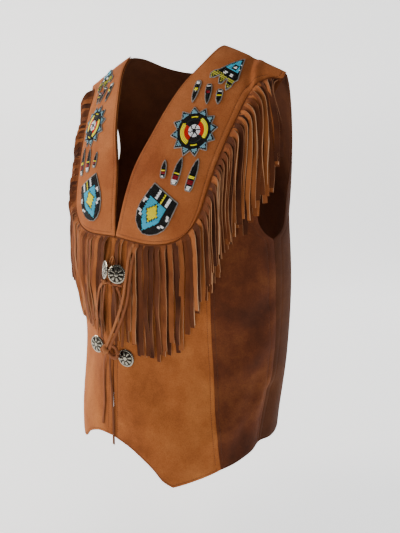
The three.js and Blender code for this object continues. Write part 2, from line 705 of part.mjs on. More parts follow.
// Strands along the edge on one side. One that would hang in the lane of the strand before it is left out;
// strands that hang closer than their width are turned on edge.
function strandsFor(side, label) {
  const stemXs = CONCHOS.filter(({ stem }) => stem > 0).map(({ x }) => x * side);
  const kept = [];
  for (let index = 0; STRAND_PITCH * (index + 1) < edge.total; index += 1) {
    const distance = STRAND_PITCH * (index + 0.5);
    const { x } = bodyPoint(edge.at(distance));
    const clear = stemXs.every((stemX) => Math.abs(stemX - x) > STEM_CLEARANCE);
    const route = strandRoute(distance, strandLength(distance / edge.total, index, side));
    const before = kept[kept.length - 1];
    const free = !before || lanePitch(route, before.route) > LANE;
    if (clear && free && x > FRINGE_START[label]) kept.push({ distance, route });
  }
  return kept.map(({ distance, route }, k) => {
    const pitches = [kept[k - 1], kept[k + 1]].filter(Boolean).map((near) => Math.abs(lanePitch(route, near.route)));
    const pitch = Math.min(...pitches);
    const tilt = pitch > STRAND_WIDTH + 0.8 ? 0 : Math.asin(Math.min((STRAND_WALL + 1.1) / pitch, 0.95));
    return { distance, sections: route.map((station) => strandStation(station, distance, tilt)) };
  });
}

// A station of a strand: its place, its lift off the body, and its directions across and through.
function strandStation({ place, heading, walked }, distance, tilt) {
  const ease = (from, to) => THREE.MathUtils.smoothstep(walked, from, to);
  const root = edgeFrame(distance);
  const steep = 1 - Math.hypot(root.along.x, root.along.y);
  const overArm = SLEEVE_LIFT * THREE.MathUtils.smoothstep(bodyPoint(root.place).x, 168, 202);
  const restLift = 2.2 + Math.sin(tilt) * STRAND_WIDTH / 2;
  const lift = THREE.MathUtils.lerp(STRIP_LIFT + STRIP_WALL / 2, restLift, ease(0, 12))
    + (1.5 + 4.5 * steep) * ease(0, 8) * (1 - ease(12, 40)) + overArm * ease(0, 30);
  const normal = bodyNormal(place);
  const onEdge = tilt * ease(0, 9);
  const flat = heading.clone().cross(normal).normalize();
  const across = flat.multiplyScalar(Math.cos(onEdge)).addScaledVector(normal, Math.sin(onEdge));
  const thick = across.clone().cross(heading).normalize();
  return { place, lift, across, thick };
}

// Four corners of a strand's section, on either side of the body: low and high at one edge, then the other.
function strandSection({ place, lift, across, thick }, side) {
  const flip = (v) => new THREE.Vector3(side * v.x, v.y, v.z);
  const middle = leatherPoint(side < 0 ? mirrored(place) : place, lift);
  return [[1, -1], [1, 1], [-1, 1], [-1, -1]].map(([a, b]) => middle.clone()
    .addScaledVector(flip(across), a * STRAND_WIDTH / 2).addScaledVector(flip(thick), b * STRAND_WALL / 2));
}

// One body: the strip along the yoke's edge, with the strands growing out of its outer side.
function buildFringe(side, label) {
  const roots = strandsFor(side, label);
  const half = STRAND_WIDTH / 2;
  const cuts = [0, ...roots.flatMap(({ distance }) => [distance - half, distance + half]), edge.total];
  const points = [];
  const index = [];
  const quad = (a, b, c, d) => (side < 0 ? index.push(a, b, c, a, c, d) : index.push(a, c, b, a, d, c));
  const corner = (place, lift) => points.push(leatherPoint(side < 0 ? mirrored(place) : place, lift));
  for (const cut of cuts) {
    const { place, outward } = edgeFrame(cut);
    for (const [offset, lift] of [[STRIP.outer, 0], [STRIP.outer, 1], [STRIP.inner, 1], [STRIP.inner, 0]]) {
      corner(slide(place, outward, offset), STRIP_LIFT + STRIP_WALL * lift);
    }
  }
  const at = (k, c) => k * 4 + c;
  for (let k = 0; k < cuts.length - 1; k += 1) {
    const strandHere = k % 2 === 1 && k < cuts.length - 2;
    if (!strandHere) quad(at(k, 0), at(k, 1), at(k + 1, 1), at(k + 1, 0));
    quad(at(k, 1), at(k, 2), at(k + 1, 2), at(k + 1, 1));
    quad(at(k, 2), at(k, 3), at(k + 1, 3), at(k + 1, 2));
    quad(at(k, 3), at(k, 0), at(k + 1, 0), at(k + 1, 3));
  }
  const last = cuts.length - 1;
  quad(at(0, 0), at(0, 3), at(0, 2), at(0, 1));
  quad(at(last, 0), at(last, 1), at(last, 2), at(last, 3));
  roots.forEach(({ sections }, r) => {
    let ring = [at(2 * r + 1, 0), at(2 * r + 1, 1), at(2 * r + 2, 1), at(2 * r + 2, 0)];
    for (const station of sections.slice(1)) {
      const first = points.length;
      points.push(...strandSection(station, side));
      const next = [first, first + 1, first + 2, first + 3];
      for (let c = 0; c < 4; c += 1) {
        const d = (c + 1) % 4;
        quad(ring[c], ring[d], next[d], next[c]);
      }
      ring = next;
    }
    quad(ring[0], ring[1], ring[2], ring[3]);
  });
  const geometry = new THREE.BufferGeometry();
  geometry.setAttribute('position', new THREE.Float32BufferAttribute(points.flatMap((p) => [p.x, p.y, p.z]), 3));
  geometry.setIndex(index);
  addPiece(`fringe_${label}`, geometry, FRINGE_SUEDE);
}

// ---------- beadwork ----------

// A raised plate on the yoke: an outline round its centre, filled by rings so that it follows the leather.
function plate({ x, z, outline, rings, lean, side }) {
  const centre = placeAt(x, side < 0 ? z + RIGHT_RAISE : z);
  const normal = bodyNormal(centre);
  const up = surfaceDown(normal).negate();
  const right = up.clone().cross(normal);
  const angle = -THREE.MathUtils.degToRad(lean);
  const axisU = right.clone().multiplyScalar(Math.cos(angle)).addScaledVector(up, Math.sin(angle));
  const axisV = up.clone().multiplyScalar(Math.cos(angle)).addScaledVector(right, -Math.sin(angle));
  const placeOf = ([u, v]) => {
    const offset = axisU.clone().multiplyScalar(u).addScaledVector(axisV, v);
    const place = slide(centre, offset, 1);
    return side < 0 ? mirrored(place) : place;
  };
  const count = outline.length;
  const positions = [];
  const layer = (lift) => {
    positions.push(leatherPoint(placeOf([0, 0]), lift));
    for (let k = 1; k <= rings; k += 1) {
      for (const [u, v] of outline) positions.push(leatherPoint(placeOf([u * k / rings, v * k / rings]), lift));
    }
  };
  layer(BEAD_LIFT + BEAD_WALL);
  layer(BEAD_LIFT);
  const size = 1 + rings * count;
  const index = [];
  const face = (a, b, c, flip) => (flip !== side < 0 ? index.push(a, c, b) : index.push(a, b, c));
  const node = (k, i, base) => base + 1 + (k - 1) * count + (i % count);
  for (const [base, flip] of [[0, false], [size, true]]) {
    for (let i = 0; i < count; i += 1) {
      face(base, node(1, i, base), node(1, i + 1, base), flip);
      for (let k = 1; k < rings; k += 1) {
        face(node(k, i, base), node(k + 1, i, base), node(k + 1, i + 1, base), flip);
        face(node(k, i, base), node(k + 1, i + 1, base), node(k, i + 1, base), flip);
      }
    }
  }
  for (let i = 0; i < count; i += 1) {
    const [a, b] = [node(rings, i, 0), node(rings, i + 1, 0)];
    const [c, d] = [node(rings, i, size), node(rings, i + 1, size)];
    face(a, c, d, false);
    face(a, d, b, false);
  }
  const geometry = new THREE.BufferGeometry();
  geometry.setAttribute('position', new THREE.Float32BufferAttribute(positions.flatMap((p) => [p.x, p.y, p.z]), 3));
  geometry.setIndex(index);
  return geometry;
}

function rosetteOutline({ points, turn, tip, valley }) {
  return [...Array(points * 2).keys()].map((k) => {
    const radius = k % 2 === 0 ? tip : valley;
    const angle = Math.PI * k / points + THREE.MathUtils.degToRad(90 + turn);
    return [radius * Math.cos(angle), radius * Math.sin(angle)];
  });
}

// Shield: a straight top and two sides that swell and then meet in a point.
function shieldOutline({ width, height }) {
  const half = width / 2;
  const flank = [[1, 0.5], [1.09, 0.28], [1.15, 0.05], [1.09, -0.14], [0.84, -0.31], [0.45, -0.44]];
  const left = flank.map(([w, v]) => [-half * w, height * v]);
  const right = flank.map(([w, v]) => [half * w, height * v]).reverse();
  return [[0, height / 2], ...left, [0, -height / 2], ...right];
}

// Feather: a blunt foot, full sides and a long point at the top. The upper feathers point down instead.
function featherOutline({ length, width, name }) {
  const half = width / 2;
  const profile = [[0.62, -0.5], [0.95, -0.38], [1, -0.1], [0.8, 0.2], [0.4, 0.4]];
  const right = profile.map(([w, v]) => [half * w, length * v]);
  const left = profile.map(([w, v]) => [-half * w, length * v]).reverse();
  const outline = [...right, [0, length / 2], ...left];
  return name.startsWith('upper') ? outline.map(([u, v]) => [-u, -v]) : outline;
}

// Arrowhead: a triangle with its point up and three tufts that hang from its base.
function arrowheadOutline() {
  const flank = [[0, 22.6], [-8.6, 6.2], [-17.4, -9.8]];
  const tufts = [
    [-22.5, -13.5], [-24.5, -18], [-21.5, -22.5], [-16.5, -20.5], [-12, -15.5],
    [-9, -19.5], [-5.5, -24], [-1.5, -22.5], [0, -15.5],
    [3, -16], [5, -22], [9.5, -26.5], [13.5, -21], [13.2, -15],
  ];
  return [...flank, ...tufts, [16.6, -10.8], [8.3, 6.2]];
}

function buildBeadwork(side, label) {
  const pieces = [
    ['rosette', { ...ROSETTE, lean: 0 }, rosetteOutline(ROSETTE), 3],
    ['shield', SHIELD, shieldOutline(SHIELD), 3],
    ['arrowhead', ARROWHEAD, arrowheadOutline(), 2],
    ...FEATHERS.map((feather) => [`feather_${feather.name}`, feather, featherOutline(feather), 2]),
  ];
  for (const [name, { x, z, lean }, outline, rings] of pieces) {
    addPiece(`${name}_${label}`, plate({ x, z, outline, rings, lean, side }), BEADS);
  }
}

// ---------- conchos, tab and ties ----------

// Turns and moves a piece modelled on +Z so that it stands on the leather at a place.
function seat(mesh, x, z, lift) {
  const place = placeAt(x, z);
  const normal = bodyNormal(place);
  const up = surfaceDown(normal).negate();
  const right = up.clone().cross(normal);
  mesh.quaternion.setFromRotationMatrix(new THREE.Matrix4().makeBasis(right, up, normal));
  mesh.position.copy(leatherPoint(place, lift));
}

function buildConchos() {
  const segments = 20;
  for (const { name, x, z, lift, swing, stem } of CONCHOS) {
    const profile = [
      [0, 0],
      [CONCHO.radius, 0],
      [CONCHO.radius, CONCHO.rim],
      [CONCHO.radius * 0.72, CONCHO.rim + 0.9],
      [CONCHO.radius * 0.36, CONCHO.dome],
      [0, CONCHO.dome + 0.3],
    ].map(([r, h]) => new THREE.Vector2(r, h));
    const dome = new THREE.LatheGeometry(profile, segments).rotateX(Math.PI / 2);
    const parts = [dome.rotateY(THREE.MathUtils.degToRad(swing))];
    if (stem > 0) {
      const post = new THREE.CylinderGeometry(CONCHO.stem, CONCHO.stem, stem + 1, 8).rotateX(Math.PI / 2);
      parts.push(post.translate(0, 0, (1 - stem) / 2));
    }
    const concho = addPiece(name, united(parts), SILVER);
    seat(concho, x, z, lift);
  }
}

function buildTab() {
  const { x, z, length, width, wall, slit, slitWidth, lean, lift } = TAB;
  const half = width / 2;
  const shape = new THREE.Shape();
  shape.moveTo(-half, -length / 2);
  shape.lineTo(half, -length / 2);
  shape.lineTo(half, length / 2 - half);
  shape.absarc(0, length / 2 - half, half, 0, Math.PI, false);
  shape.closePath();
  const hole = new THREE.Path();
  const slitTop = length / 2 - half;
  hole.absarc(0, slitTop, slitWidth / 2, 0, Math.PI, false);
  hole.absarc(0, slitTop - slit, slitWidth / 2, Math.PI, 2 * Math.PI, false);
  hole.closePath();
  shape.holes.push(hole);
  const geometry = new THREE.ExtrudeGeometry(shape, { depth: wall, bevelEnabled: false, curveSegments: 5 });
  const tab = addPiece('tie_tab', welded(geometry), LACE_LEATHER);
  seat(tab, x, z, lift);
  tab.rotateZ(-THREE.MathUtils.degToRad(lean));
}

// A round lace through points of x, z and lift, as part of a knot.
function cordAlong(points, radius, closed = false) {
  const curve = new THREE.CatmullRomCurve3(
    points.map(([x, z, lift]) => leatherPoint(placeAt(x, z), lift)), closed, 'centripetal',
  );
  const section = new THREE.Shape().absarc(0, 0, radius, 0, 2 * Math.PI, false);
  const options = { steps: points.length * 2, curveSegments: 6, bevelEnabled: false, extrudePath: curve };
  return new THREE.ExtrudeGeometry(section, options);
}

function knotBall(x, z, lift, [wide, high, deep]) {
  const mesh = new THREE.Mesh(new THREE.SphereGeometry(1, 10, 7).scale(wide, high, deep).rotateY(0.2));
  seat(mesh, x, z, lift);
  mesh.updateMatrix();
  return mesh.geometry.applyMatrix4(mesh.matrix);
}

function buildTies() {
  const upper = [
    cordAlong([[-13, -332, 8.6], [-4, -332.4, 9.6], [8, -332.6, 9.4], [20, -332.4, 8.8], [30, -332.8, 7.8]], 2),
    knotBall(-3, -332.4, 9.6, [6, 3.6, 4.2]),
    knotBall(9, -332.4, 9, [4.5, 3.2, 3.6]),
  ];
  addPiece('tie_upper', united(upper), LACE_LEATHER);
  const loop = [...Array(8).keys()].map((k) => {
    const angle = Math.PI * k / 4;
    return [4 + 7.5 * Math.cos(angle), -441 + 5.5 * Math.sin(angle), 5.2 + 1.2 * Math.cos(angle)];
  });
  loop.push(loop[0]);
  const lower = [
    cordAlong([[-22.6, -444, 2.6], [-15, -444, 4.8], [-6, -443.5, 5.4], [4, -446, 5.4], [13.7, -446, 2.6]], 2.1),
    knotBall(-8, -443, 5.2, [6.2, 5.4, 4]),
    cordAlong(loop, 1.7),
    knotBall(11.2, -441, 5.4, [2.6, 2.6, 2.4]),
  ];
  addPiece('tie_lower', united(lower), LACE_LEATHER);
}

// ---------- laces ----------

function laceGeometry(points) {
  const middles = points.map(([x, z, lift]) => new THREE.Vector3(x, z, lift));
  const route = new THREE.CatmullRomCurve3(middles, false, 'centripetal');
  const count = Math.max(Math.round(route.getLength() / LACE_STEP), 8);
  const stations = [];
  for (let k = 0; k <= count; k += 1) {
    const { x, y: z, z: lift } = route.getPointAt(k / count);
    const ahead = route.getPointAt(Math.min(k / count + 0.02, 1));
    const behind = route.getPointAt(Math.max(k / count - 0.02, 0));
    const place = placeAt(x, z);
    const heading = leatherPoint(placeAt(ahead.x, ahead.y), ahead.z)
      .sub(leatherPoint(placeAt(behind.x, behind.y), behind.z)).normalize();
    const across = heading.clone().cross(bodyNormal(place)).normalize();
    const thick = across.clone().cross(heading).normalize();
    stations.push({ middle: leatherPoint(place, lift), across, thick });
  }
  return strap(stations, LACE.width, LACE.wall);
}

function buildLaces() {
  for (const { name, points } of LACES) addPiece(name, laceGeometry(points), LACE_LEATHER);
}

for (const [side, label] of [[1, 'left'], [-1, 'right']]) {
  buildFront(side, label);
  buildYoke(side, label);
  buildFringe(side, label);
  buildBeadwork(side, label);
}
buildBack();
buildConchos();
buildTab();
buildTies();
buildLaces();

export default vest;
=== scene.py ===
"""Finished looks of a fringed suede vest with beaded yokes, silver conchos and lace ties.

Lengths in fields are millimetres in the part's frame; meshes are made in metres. A place on the body is a pair:
the turn round it in radians (-pi/2 centre front, 0 left side seam) and the rise above the chest line.
A lift is a distance out from the body's surface.
"""

import logging
import math
from collections.abc import Callable, Sequence
from dataclasses import dataclass
from enum import IntEnum
from typing import ClassVar

import bpy
import numpy as np
from mathutils import Matrix, Vector


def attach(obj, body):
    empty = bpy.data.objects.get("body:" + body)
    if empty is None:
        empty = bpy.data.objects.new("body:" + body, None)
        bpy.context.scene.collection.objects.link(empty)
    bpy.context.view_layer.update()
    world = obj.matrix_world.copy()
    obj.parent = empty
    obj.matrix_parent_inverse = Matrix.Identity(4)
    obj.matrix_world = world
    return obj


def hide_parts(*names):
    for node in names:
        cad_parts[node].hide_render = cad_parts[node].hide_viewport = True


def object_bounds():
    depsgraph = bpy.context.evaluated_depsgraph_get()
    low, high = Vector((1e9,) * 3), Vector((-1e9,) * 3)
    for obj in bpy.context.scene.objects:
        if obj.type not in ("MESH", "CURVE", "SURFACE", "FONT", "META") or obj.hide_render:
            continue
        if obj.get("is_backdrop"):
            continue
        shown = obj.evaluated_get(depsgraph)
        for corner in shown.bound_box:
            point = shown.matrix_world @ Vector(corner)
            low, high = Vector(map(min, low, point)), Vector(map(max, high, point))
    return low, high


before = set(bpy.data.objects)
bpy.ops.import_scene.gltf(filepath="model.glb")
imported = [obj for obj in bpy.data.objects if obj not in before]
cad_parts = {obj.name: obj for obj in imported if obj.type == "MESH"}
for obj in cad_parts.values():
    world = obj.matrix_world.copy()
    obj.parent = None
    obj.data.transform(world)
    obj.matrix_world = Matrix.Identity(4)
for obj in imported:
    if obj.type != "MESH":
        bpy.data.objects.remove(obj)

log = logging.getLogger("vest")
MM = 0.001
Array = np.ndarray
Material = bpy.types.Material
Piece = bpy.types.Object
Socket = bpy.types.NodeSocket
Curve = Callable[[Array], Array]
XY = tuple[float, float]
XYZ = tuple[float, float, float]
SIDES = ((1, "left"), (-1, "right"))


# ---------- numbers ----------


def smoothstep(value: Array, low: float, high: float) -> Array:
    """Args: value; low, high: two ends. Returns: shares that ease from 0 at low to 1 at high."""
    share = np.clip((value - low) / (high - low), 0, 1)
    return share * share * (3 - 2 * share)


def unit(vectors: Array) -> Array:
    """Args: vectors: (..., 3). Returns: them at length 1."""
    return vectors / np.linalg.norm(vectors, axis=-1, keepdims=True)


def polar(radius: Array | float, angle: Array) -> Array:
    """Args: radius: one, or one for each angle; angle: radians. Returns: (..., 2) points of the circle."""
    return np.stack([radius * np.cos(angle), radius * np.sin(angle)], -1)


def running_length(points: Array) -> Array:
    """Args: points: (n, axes) along a line. Returns: the length gone at each."""
    return np.concatenate([[0], np.cumsum(np.linalg.norm(np.diff(points, axis=0), axis=1))])


def hermite(share: Array, start: Array, end: Array, leave: Array, arrive: Array) -> Array:
    """Cubic between two values with given slopes at its ends.

    Args: share: 0 to 1 along it; start, end: the values; leave, arrive: slopes per whole span.
    Returns: the value at each share.
    """
    s2, s3 = share**2, share**3
    from_ends = (2 * s3 - 3 * s2 + 1) * start + (3 * s2 - 2 * s3) * end
    return from_ends + (s3 - 2 * s2 + share) * leave + (s3 - s2) * arrive


class SmoothTable:
    """A cubic through a table of heights and values, with slopes from the neighbouring rows."""

    def __init__(self, rows: Sequence[XY]) -> None:
        """Args: rows: (height, value) pairs from the lowest up."""
        self.z, self.value = np.array(rows, float).T
        gap = np.diff(self.z)
        rate = np.diff(self.value) / gap
        inner = (rate[:-1] * gap[1:] + rate[1:] * gap[:-1]) / (gap[:-1] + gap[1:])
        self.slope = np.concatenate([rate[:1], inner, rate[-1:]])

    def __call__(self, z: Array) -> Array:
        """Args: z: heights. Returns: the table's value there."""
        at = np.clip(z, self.z[0], self.z[-1])
        k = np.clip(np.searchsorted(self.z, at, side="right") - 1, 0, len(self.z) - 2)
        span = self.z[k + 1] - self.z[k]
        share = (at - self.z[k]) / span
        value, slope = self.value, self.slope
        return hermite(share, value[k], value[k + 1], slope[k] * span, slope[k + 1] * span)


class SmoothCurve:
    """A centripetal Catmull-Rom curve through points, read by share of its length."""

    SAMPLES = 40

    def __init__(self, points: Sequence[Sequence[float]], scale: Sequence[float]) -> None:
        """Args: points: what it passes through; scale: millimetres for one unit of each coordinate."""
        self.scale = np.array(scale, float)
        knots = np.array(points, float) * self.scale
        knots = np.vstack([2 * knots[0] - knots[1], knots, 2 * knots[-1] - knots[-2]])
        gap = np.sqrt(np.linalg.norm(np.diff(knots, axis=0), axis=1))[:, None]
        rate = np.diff(knots, axis=0) / gap
        chord = (knots[2:] - knots[:-2]) / (gap[:-1] + gap[1:])
        leave = (rate[:-2] - chord[:-1] + rate[1:-1]) * gap[1:-1]
        arrive = (rate[1:-1] - chord[1:] + rate[2:]) * gap[1:-1]
        share = np.linspace(0, 1, self.SAMPLES, endpoint=False)[None, :, None]
        start, end = knots[1:-2, None], knots[2:-1, None]
        inside = hermite(share, start, end, leave[:, None], arrive[:, None]).reshape(-1, knots.shape[1])
        self.points = np.vstack([inside, knots[-2]])
        self.lengths = running_length(self.points)

    @property
    def length(self) -> float:
        """Length in the scaled coordinates."""
        return float(self.lengths[-1])

    def __call__(self, share: Array) -> Array:
        """Args: share: 0 to 1 along it. Returns: points there, in the coordinates it was given."""
        at = np.clip(share, 0, 1) * self.length
        columns = [np.interp(at, self.lengths, column) for column in self.points.T]
        return np.stack(columns, -1) / self.scale


# ---------- meshes ----------


@dataclass
class Shell:
    """Closed surfaces of four-sided faces, in millimetres.

    Args: points: (n, 3); faces: (m, 4) indices; finish: the material slot of each face; values: a number for each
    point, for patterns.
    """

    points: Array
    faces: Array
    finish: Array
    values: Array

    @staticmethod
    def joined(shells: Sequence["Shell"]) -> "Shell":
        """Args: shells: the surfaces to put in one. Returns: the one shell."""
        starts = np.cumsum([0] + [len(s.points) for s in shells[:-1]])
        return Shell(
            np.concatenate([s.points for s in shells]),
            np.concatenate([s.faces + start for s, start in zip(shells, starts)]),
            np.concatenate([s.finish for s in shells]),
            np.concatenate([s.values for s in shells]),
        )

    def outward(self) -> "Shell":
        """Turns all faces round if they enclose a negative volume. Returns: the shell itself."""
        a, b, c, d = (self.points[self.faces[:, k]] for k in range(4))
        volume = np.sum(a * (np.cross(b, c) + np.cross(c, d)))
        if volume < 0:
            self.faces = self.faces[:, ::-1]
        return self


def grid_faces(index: Array) -> Array:
    """Args: index: (rows, columns) point numbers. Returns: the four-sided faces between them."""
    corners = index[:-1, :-1], index[:-1, 1:], index[1:, 1:], index[1:, :-1]
    return np.stack(corners, -1).reshape(-1, 4)


def slab(outer: Array, inner: Array, finish: int = 0, rim_finish: int = 1) -> Shell:
    """A wall between an outer and an inner grid, closed round its border.

    Args: outer, inner: (rows, columns, 3) grids that match; finish, rim_finish: material slots of its
    two faces and of its border.
    Returns: the closed shell.
    """
    rows, columns = outer.shape[:2]
    size = rows * columns
    index = np.arange(size).reshape(rows, columns)
    face = grid_faces(index)
    rim = np.concatenate([index[0, :-1], index[:-1, -1], index[-1, :0:-1], index[:0:-1, 0]])
    after = np.roll(rim, -1)
    wall = np.stack([rim, rim + size, after + size, after], -1)
    faces = np.concatenate([face, face[:, ::-1] + size, wall])
    points = np.concatenate([outer.reshape(-1, 3), inner.reshape(-1, 3)])
    slots = np.where(np.arange(len(faces)) < len(faces) - len(wall), finish, rim_finish)
    return Shell(points, faces, slots, np.zeros(len(points))).outward()


def swept(rings: Array, finish: int | Array = 0, values: Array | None = None, closed: bool = False) -> Shell:
    """Skins sets of rings, with flat ends of four-sided faces.

    Args: rings: (..., stations, ring points, 3), each set one body, with an even number of ring points;
    finish: one material slot, or one for each set; values: a number for each set; closed: whether the last ring
    meets the first.
    Returns: the shell of all sets.
    """
    stations, around = rings.shape[-3:-1]
    sets = rings.reshape(-1, stations, around, 3)
    index = np.arange(stations * around).reshape(stations, around)
    here, there = (index, np.roll(index, -1, 0)) if closed else (index[:-1], index[1:])
    side = np.stack([here, np.roll(here, -1, 1), np.roll(there, -1, 1), there], -1).reshape(-1, 4)
    parts = [side]
    if not closed:
        fan = np.arange(1, around - 1, 2)
        cap = np.stack([np.zeros_like(fan), fan, fan + 1, fan + 2], -1)
        parts += [cap[:, ::-1], cap + (stations - 1) * around]
    one = np.concatenate(parts)
    faces = (one[None] + (np.arange(len(sets)) * stations * around)[:, None, None]).reshape(-1, 4)
    slots = np.repeat(np.broadcast_to(finish, len(sets)), len(one))
    tones = np.zeros(len(sets)) if values is None else np.asarray(values).reshape(-1)
    return Shell(sets.reshape(-1, 3), faces, slots, np.repeat(tones, stations * around)).outward()


def barrels(middle: Array, axes: tuple[Array, Array, Array], profile: Sequence[XY], angle: Array) -> Array:
    """Rings of many short round bodies: each ring is moved along its axis and scaled by the profile.

    Args: middle: (n, 3) centres; axes: (n, 3) directions along, across and above; profile: (distance along,
    radius) pairs; angle: of the points round a ring.
    Returns: rings, (n, stations, points, 3).
    """
    along, across, above = axes
    ring = across[:, None] * np.cos(angle)[:, None] + above[:, None] * np.sin(angle)[:, None]
    return np.stack([(middle + along * far)[:, None] + ring * radius for far, radius in profile], 1)


def section_rings(middle: Array, across: Array, thick: Array, section: Array) -> Array:
    """Rings of a flat section along a path: middle + a * across + b * thick for each section point (a, b).

    Args: middle, across, thick: (..., stations, 3); section: (points, 2) or (..., stations, points, 2).
    Returns: rings, (..., stations, points, 3).
    """
    a, b = section[..., 0, None], section[..., 1, None]
    return middle[..., None, :] + a * across[..., None, :] + b * thick[..., None, :]


def round_section(width: float, wall: float, points: int = 8) -> Array:
    """Args: width, wall: full sizes; points: round it. Returns: (points, 2) of a flattened superellipse."""
    shape = polar(1, (np.arange(points) + 0.5) * 2 * np.pi / points)
    return np.sign(shape) * np.abs(shape) ** 0.7 * np.array([width, wall]) / 2


def linked(name: str, data: bpy.types.ID) -> Piece:
    """Args: name; data: a mesh, light or camera. Returns: its object, in the scene."""
    made = bpy.data.objects.new(name, data)
    bpy.context.scene.collection.objects.link(made)
    return made


def make_object(name: str, shell: Shell, materials: Sequence[Material], smooth: float = 40) -> Piece:
    """Makes the mesh object of a shell and has it ride with the vest.

    Args: name: its name; shell: its surface; materials: one for each finish;
    smooth: edges sharper than this many degrees stay sharp.
    Returns: the object.
    """
    mesh = bpy.data.meshes.new(name)
    mesh.from_pydata((shell.points * MM).tolist(), [], shell.faces.tolist())
    mesh.polygons.foreach_set("material_index", shell.finish.astype(np.int32))
    tone = mesh.attributes.new("tone", "FLOAT", "POINT")
    tone.data.foreach_set("value", shell.values.astype(np.float32))
    for material in materials:
        mesh.materials.append(material)
    mesh.shade_smooth()
    mesh.set_sharp_from_angle(angle=math.radians(smooth))
    made = linked(name, mesh)
    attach(made, "root")
    return made


# ---------- finishes ----------


def linear(hex_colour: str) -> tuple[float, float, float, float]:
    """Args: hex_colour: sRGB, such as "#c07a44". Returns: it as linear red, green, blue and alpha."""
    parts = [int(hex_colour[k : k + 2], 16) / 255 for k in (1, 3, 5)]
    red, green, blue = (p / 12.92 if p <= 0.04045 else ((p + 0.055) / 1.055) ** 2.4 for p in parts)
    return (red, green, blue, 1.0)


class NodeSketch:
    """A material and its node tree."""

    def __init__(self, name: str) -> None:
        """Args: name: the material's name."""
        self.material = bpy.data.materials.new(name)
        self.material.use_nodes = True
        self.tree = self.material.node_tree
        self.tree.nodes.clear()

    def add(self, kind: str, inputs: dict[str, object] | None = None, **settings: object) -> bpy.types.Node:
        """Args: kind: its type after ShaderNode; inputs: a value or an output socket for each input; settings: its
        own properties. Returns: the new node."""
        node = self.tree.nodes.new(f"ShaderNode{kind}")
        for key, value in settings.items():
            setattr(node, key, value)
        for key, value in (inputs or {}).items():
            if isinstance(value, Socket):
                self.tree.links.new(value, node.inputs[key])
            else:
                node.inputs[key].default_value = value
        return node

    def noise(self, scale: float, detail: float, **inputs: float) -> Socket:
        """Args: scale: how fine; detail: how many layers; inputs: other values of the node, by name.
        Returns: the factor of cloudy noise over the object's coordinates."""
        place = self.add("TexCoord").outputs["Object"]
        return self.add("TexNoise", {"Vector": place, "Scale": scale, "Detail": detail, **inputs}).outputs[0]

    def tone(self) -> Socket:
        """Returns: the mesh's tone attribute."""
        return self.add("Attribute", attribute_name="tone").outputs["Fac"]

    def sum_of(self, source: Socket, factor: float, more: Socket) -> Socket:
        """Args: source; factor; more. Returns: source * factor + more."""
        return self.add("Math", {0: source, 1: factor, 2: more}, operation="MULTIPLY_ADD").outputs[0]

    def ramp(self, source: Socket, stops: Sequence[tuple[float, str]]) -> Socket:
        """Args: source: what drives it; stops: (share, sRGB hex) pairs. Returns: a colour ramp's output."""
        node = self.add("ValToRGB", {"Fac": source})
        elements = node.color_ramp.elements
        while len(elements) < len(stops):
            elements.new(0.5)
        for element, (share, colour) in zip(elements, stops):
            element.position = share
            element.color = linear(colour)
        return node.outputs["Color"]

    def finished(self, inputs: dict[str, object]) -> Material:
        """Args: inputs: what goes into the Principled shader. Returns: the material, with its output."""
        shader = self.add("BsdfPrincipled", inputs)
        self.add("OutputMaterial", {"Surface": shader.outputs["BSDF"]})
        return self.material

    def napped(self, colour: Socket, grain: Socket, nap: XY, rough: float, sheen: float, tint: str) -> Material:
        """Args: colour, grain: patterns; nap: strength and depth in metres of the grain; rough; sheen; tint: sRGB hex.
        Returns: the material, leather with a raised fibre grain and a faint pale sheen."""
        strength, depth = nap
        bump = self.add("Bump", {"Height": grain, "Strength": strength, "Distance": depth})
        return self.finished({
            "Base Color": colour, "Roughness": rough, "Specular IOR Level": 0.2, "Sheen Weight": sheen,
            "Sheen Roughness": 0.45, "Sheen Tint": linear(tint), "Normal": bump.outputs["Normal"],
        })


@dataclass(frozen=True)
class Suede:
    """Brushed split suede: dull, with smudged nap, a fine fibre grain and a faint pale sheen.

    Args: name: material name; deep, body, light: darkest, middle and palest nap.
    """

    name: str
    deep: str
    body: str
    light: str

    def material(self) -> Material:
        """Returns: the suede material."""
        sketch = NodeSketch(self.name)
        smudge = sketch.noise(15.0, 6.0, Roughness=0.68, Distortion=0.12)
        half = sketch.add("Math", {0: sketch.noise(5.5, 2.0), 1: 0.5}, operation="MULTIPLY").outputs[0]
        smudged = sketch.sum_of(smudge, 0.5, half)
        colour = sketch.ramp(smudged, [(0.36, self.deep), (0.49, self.body), (0.62, self.light)])
        grain = sketch.noise(620.0, 3.0, Roughness=0.7)
        speck = sketch.ramp(grain, [(0.3, "#c9c9c9"), (0.62, "#ffffff")])
        mixed = sketch.add("Mix", {0: 0.75, 6: colour, 7: speck}, data_type="RGBA", blend_type="MULTIPLY")
        return sketch.napped(mixed.outputs[2], grain, (0.5, 0.0005), 0.95, 0.1, self.light)


@dataclass(frozen=True)
class CutSuede:
    """Suede cut into strands: each strand has its own tone, from nap side to darker flesh side.

    Args: name: material name; dark, middle, light: tones of the strands.
    """

    name: str
    dark: str
    middle: str
    light: str

    def material(self) -> Material:
        """Returns: the strand material."""
        sketch = NodeSketch(self.name)
        shift = sketch.sum_of(sketch.noise(38.0, 3.0, Roughness=0.6), 0.45, sketch.tone())
        colour = sketch.ramp(shift, [(0.2, self.dark), (0.65, self.middle), (1.0, self.light)])
        grain = sketch.noise(700.0, 3.0, Roughness=0.7)
        return sketch.napped(colour, grain, (0.4, 0.0004), 0.93, 0.08, self.light)


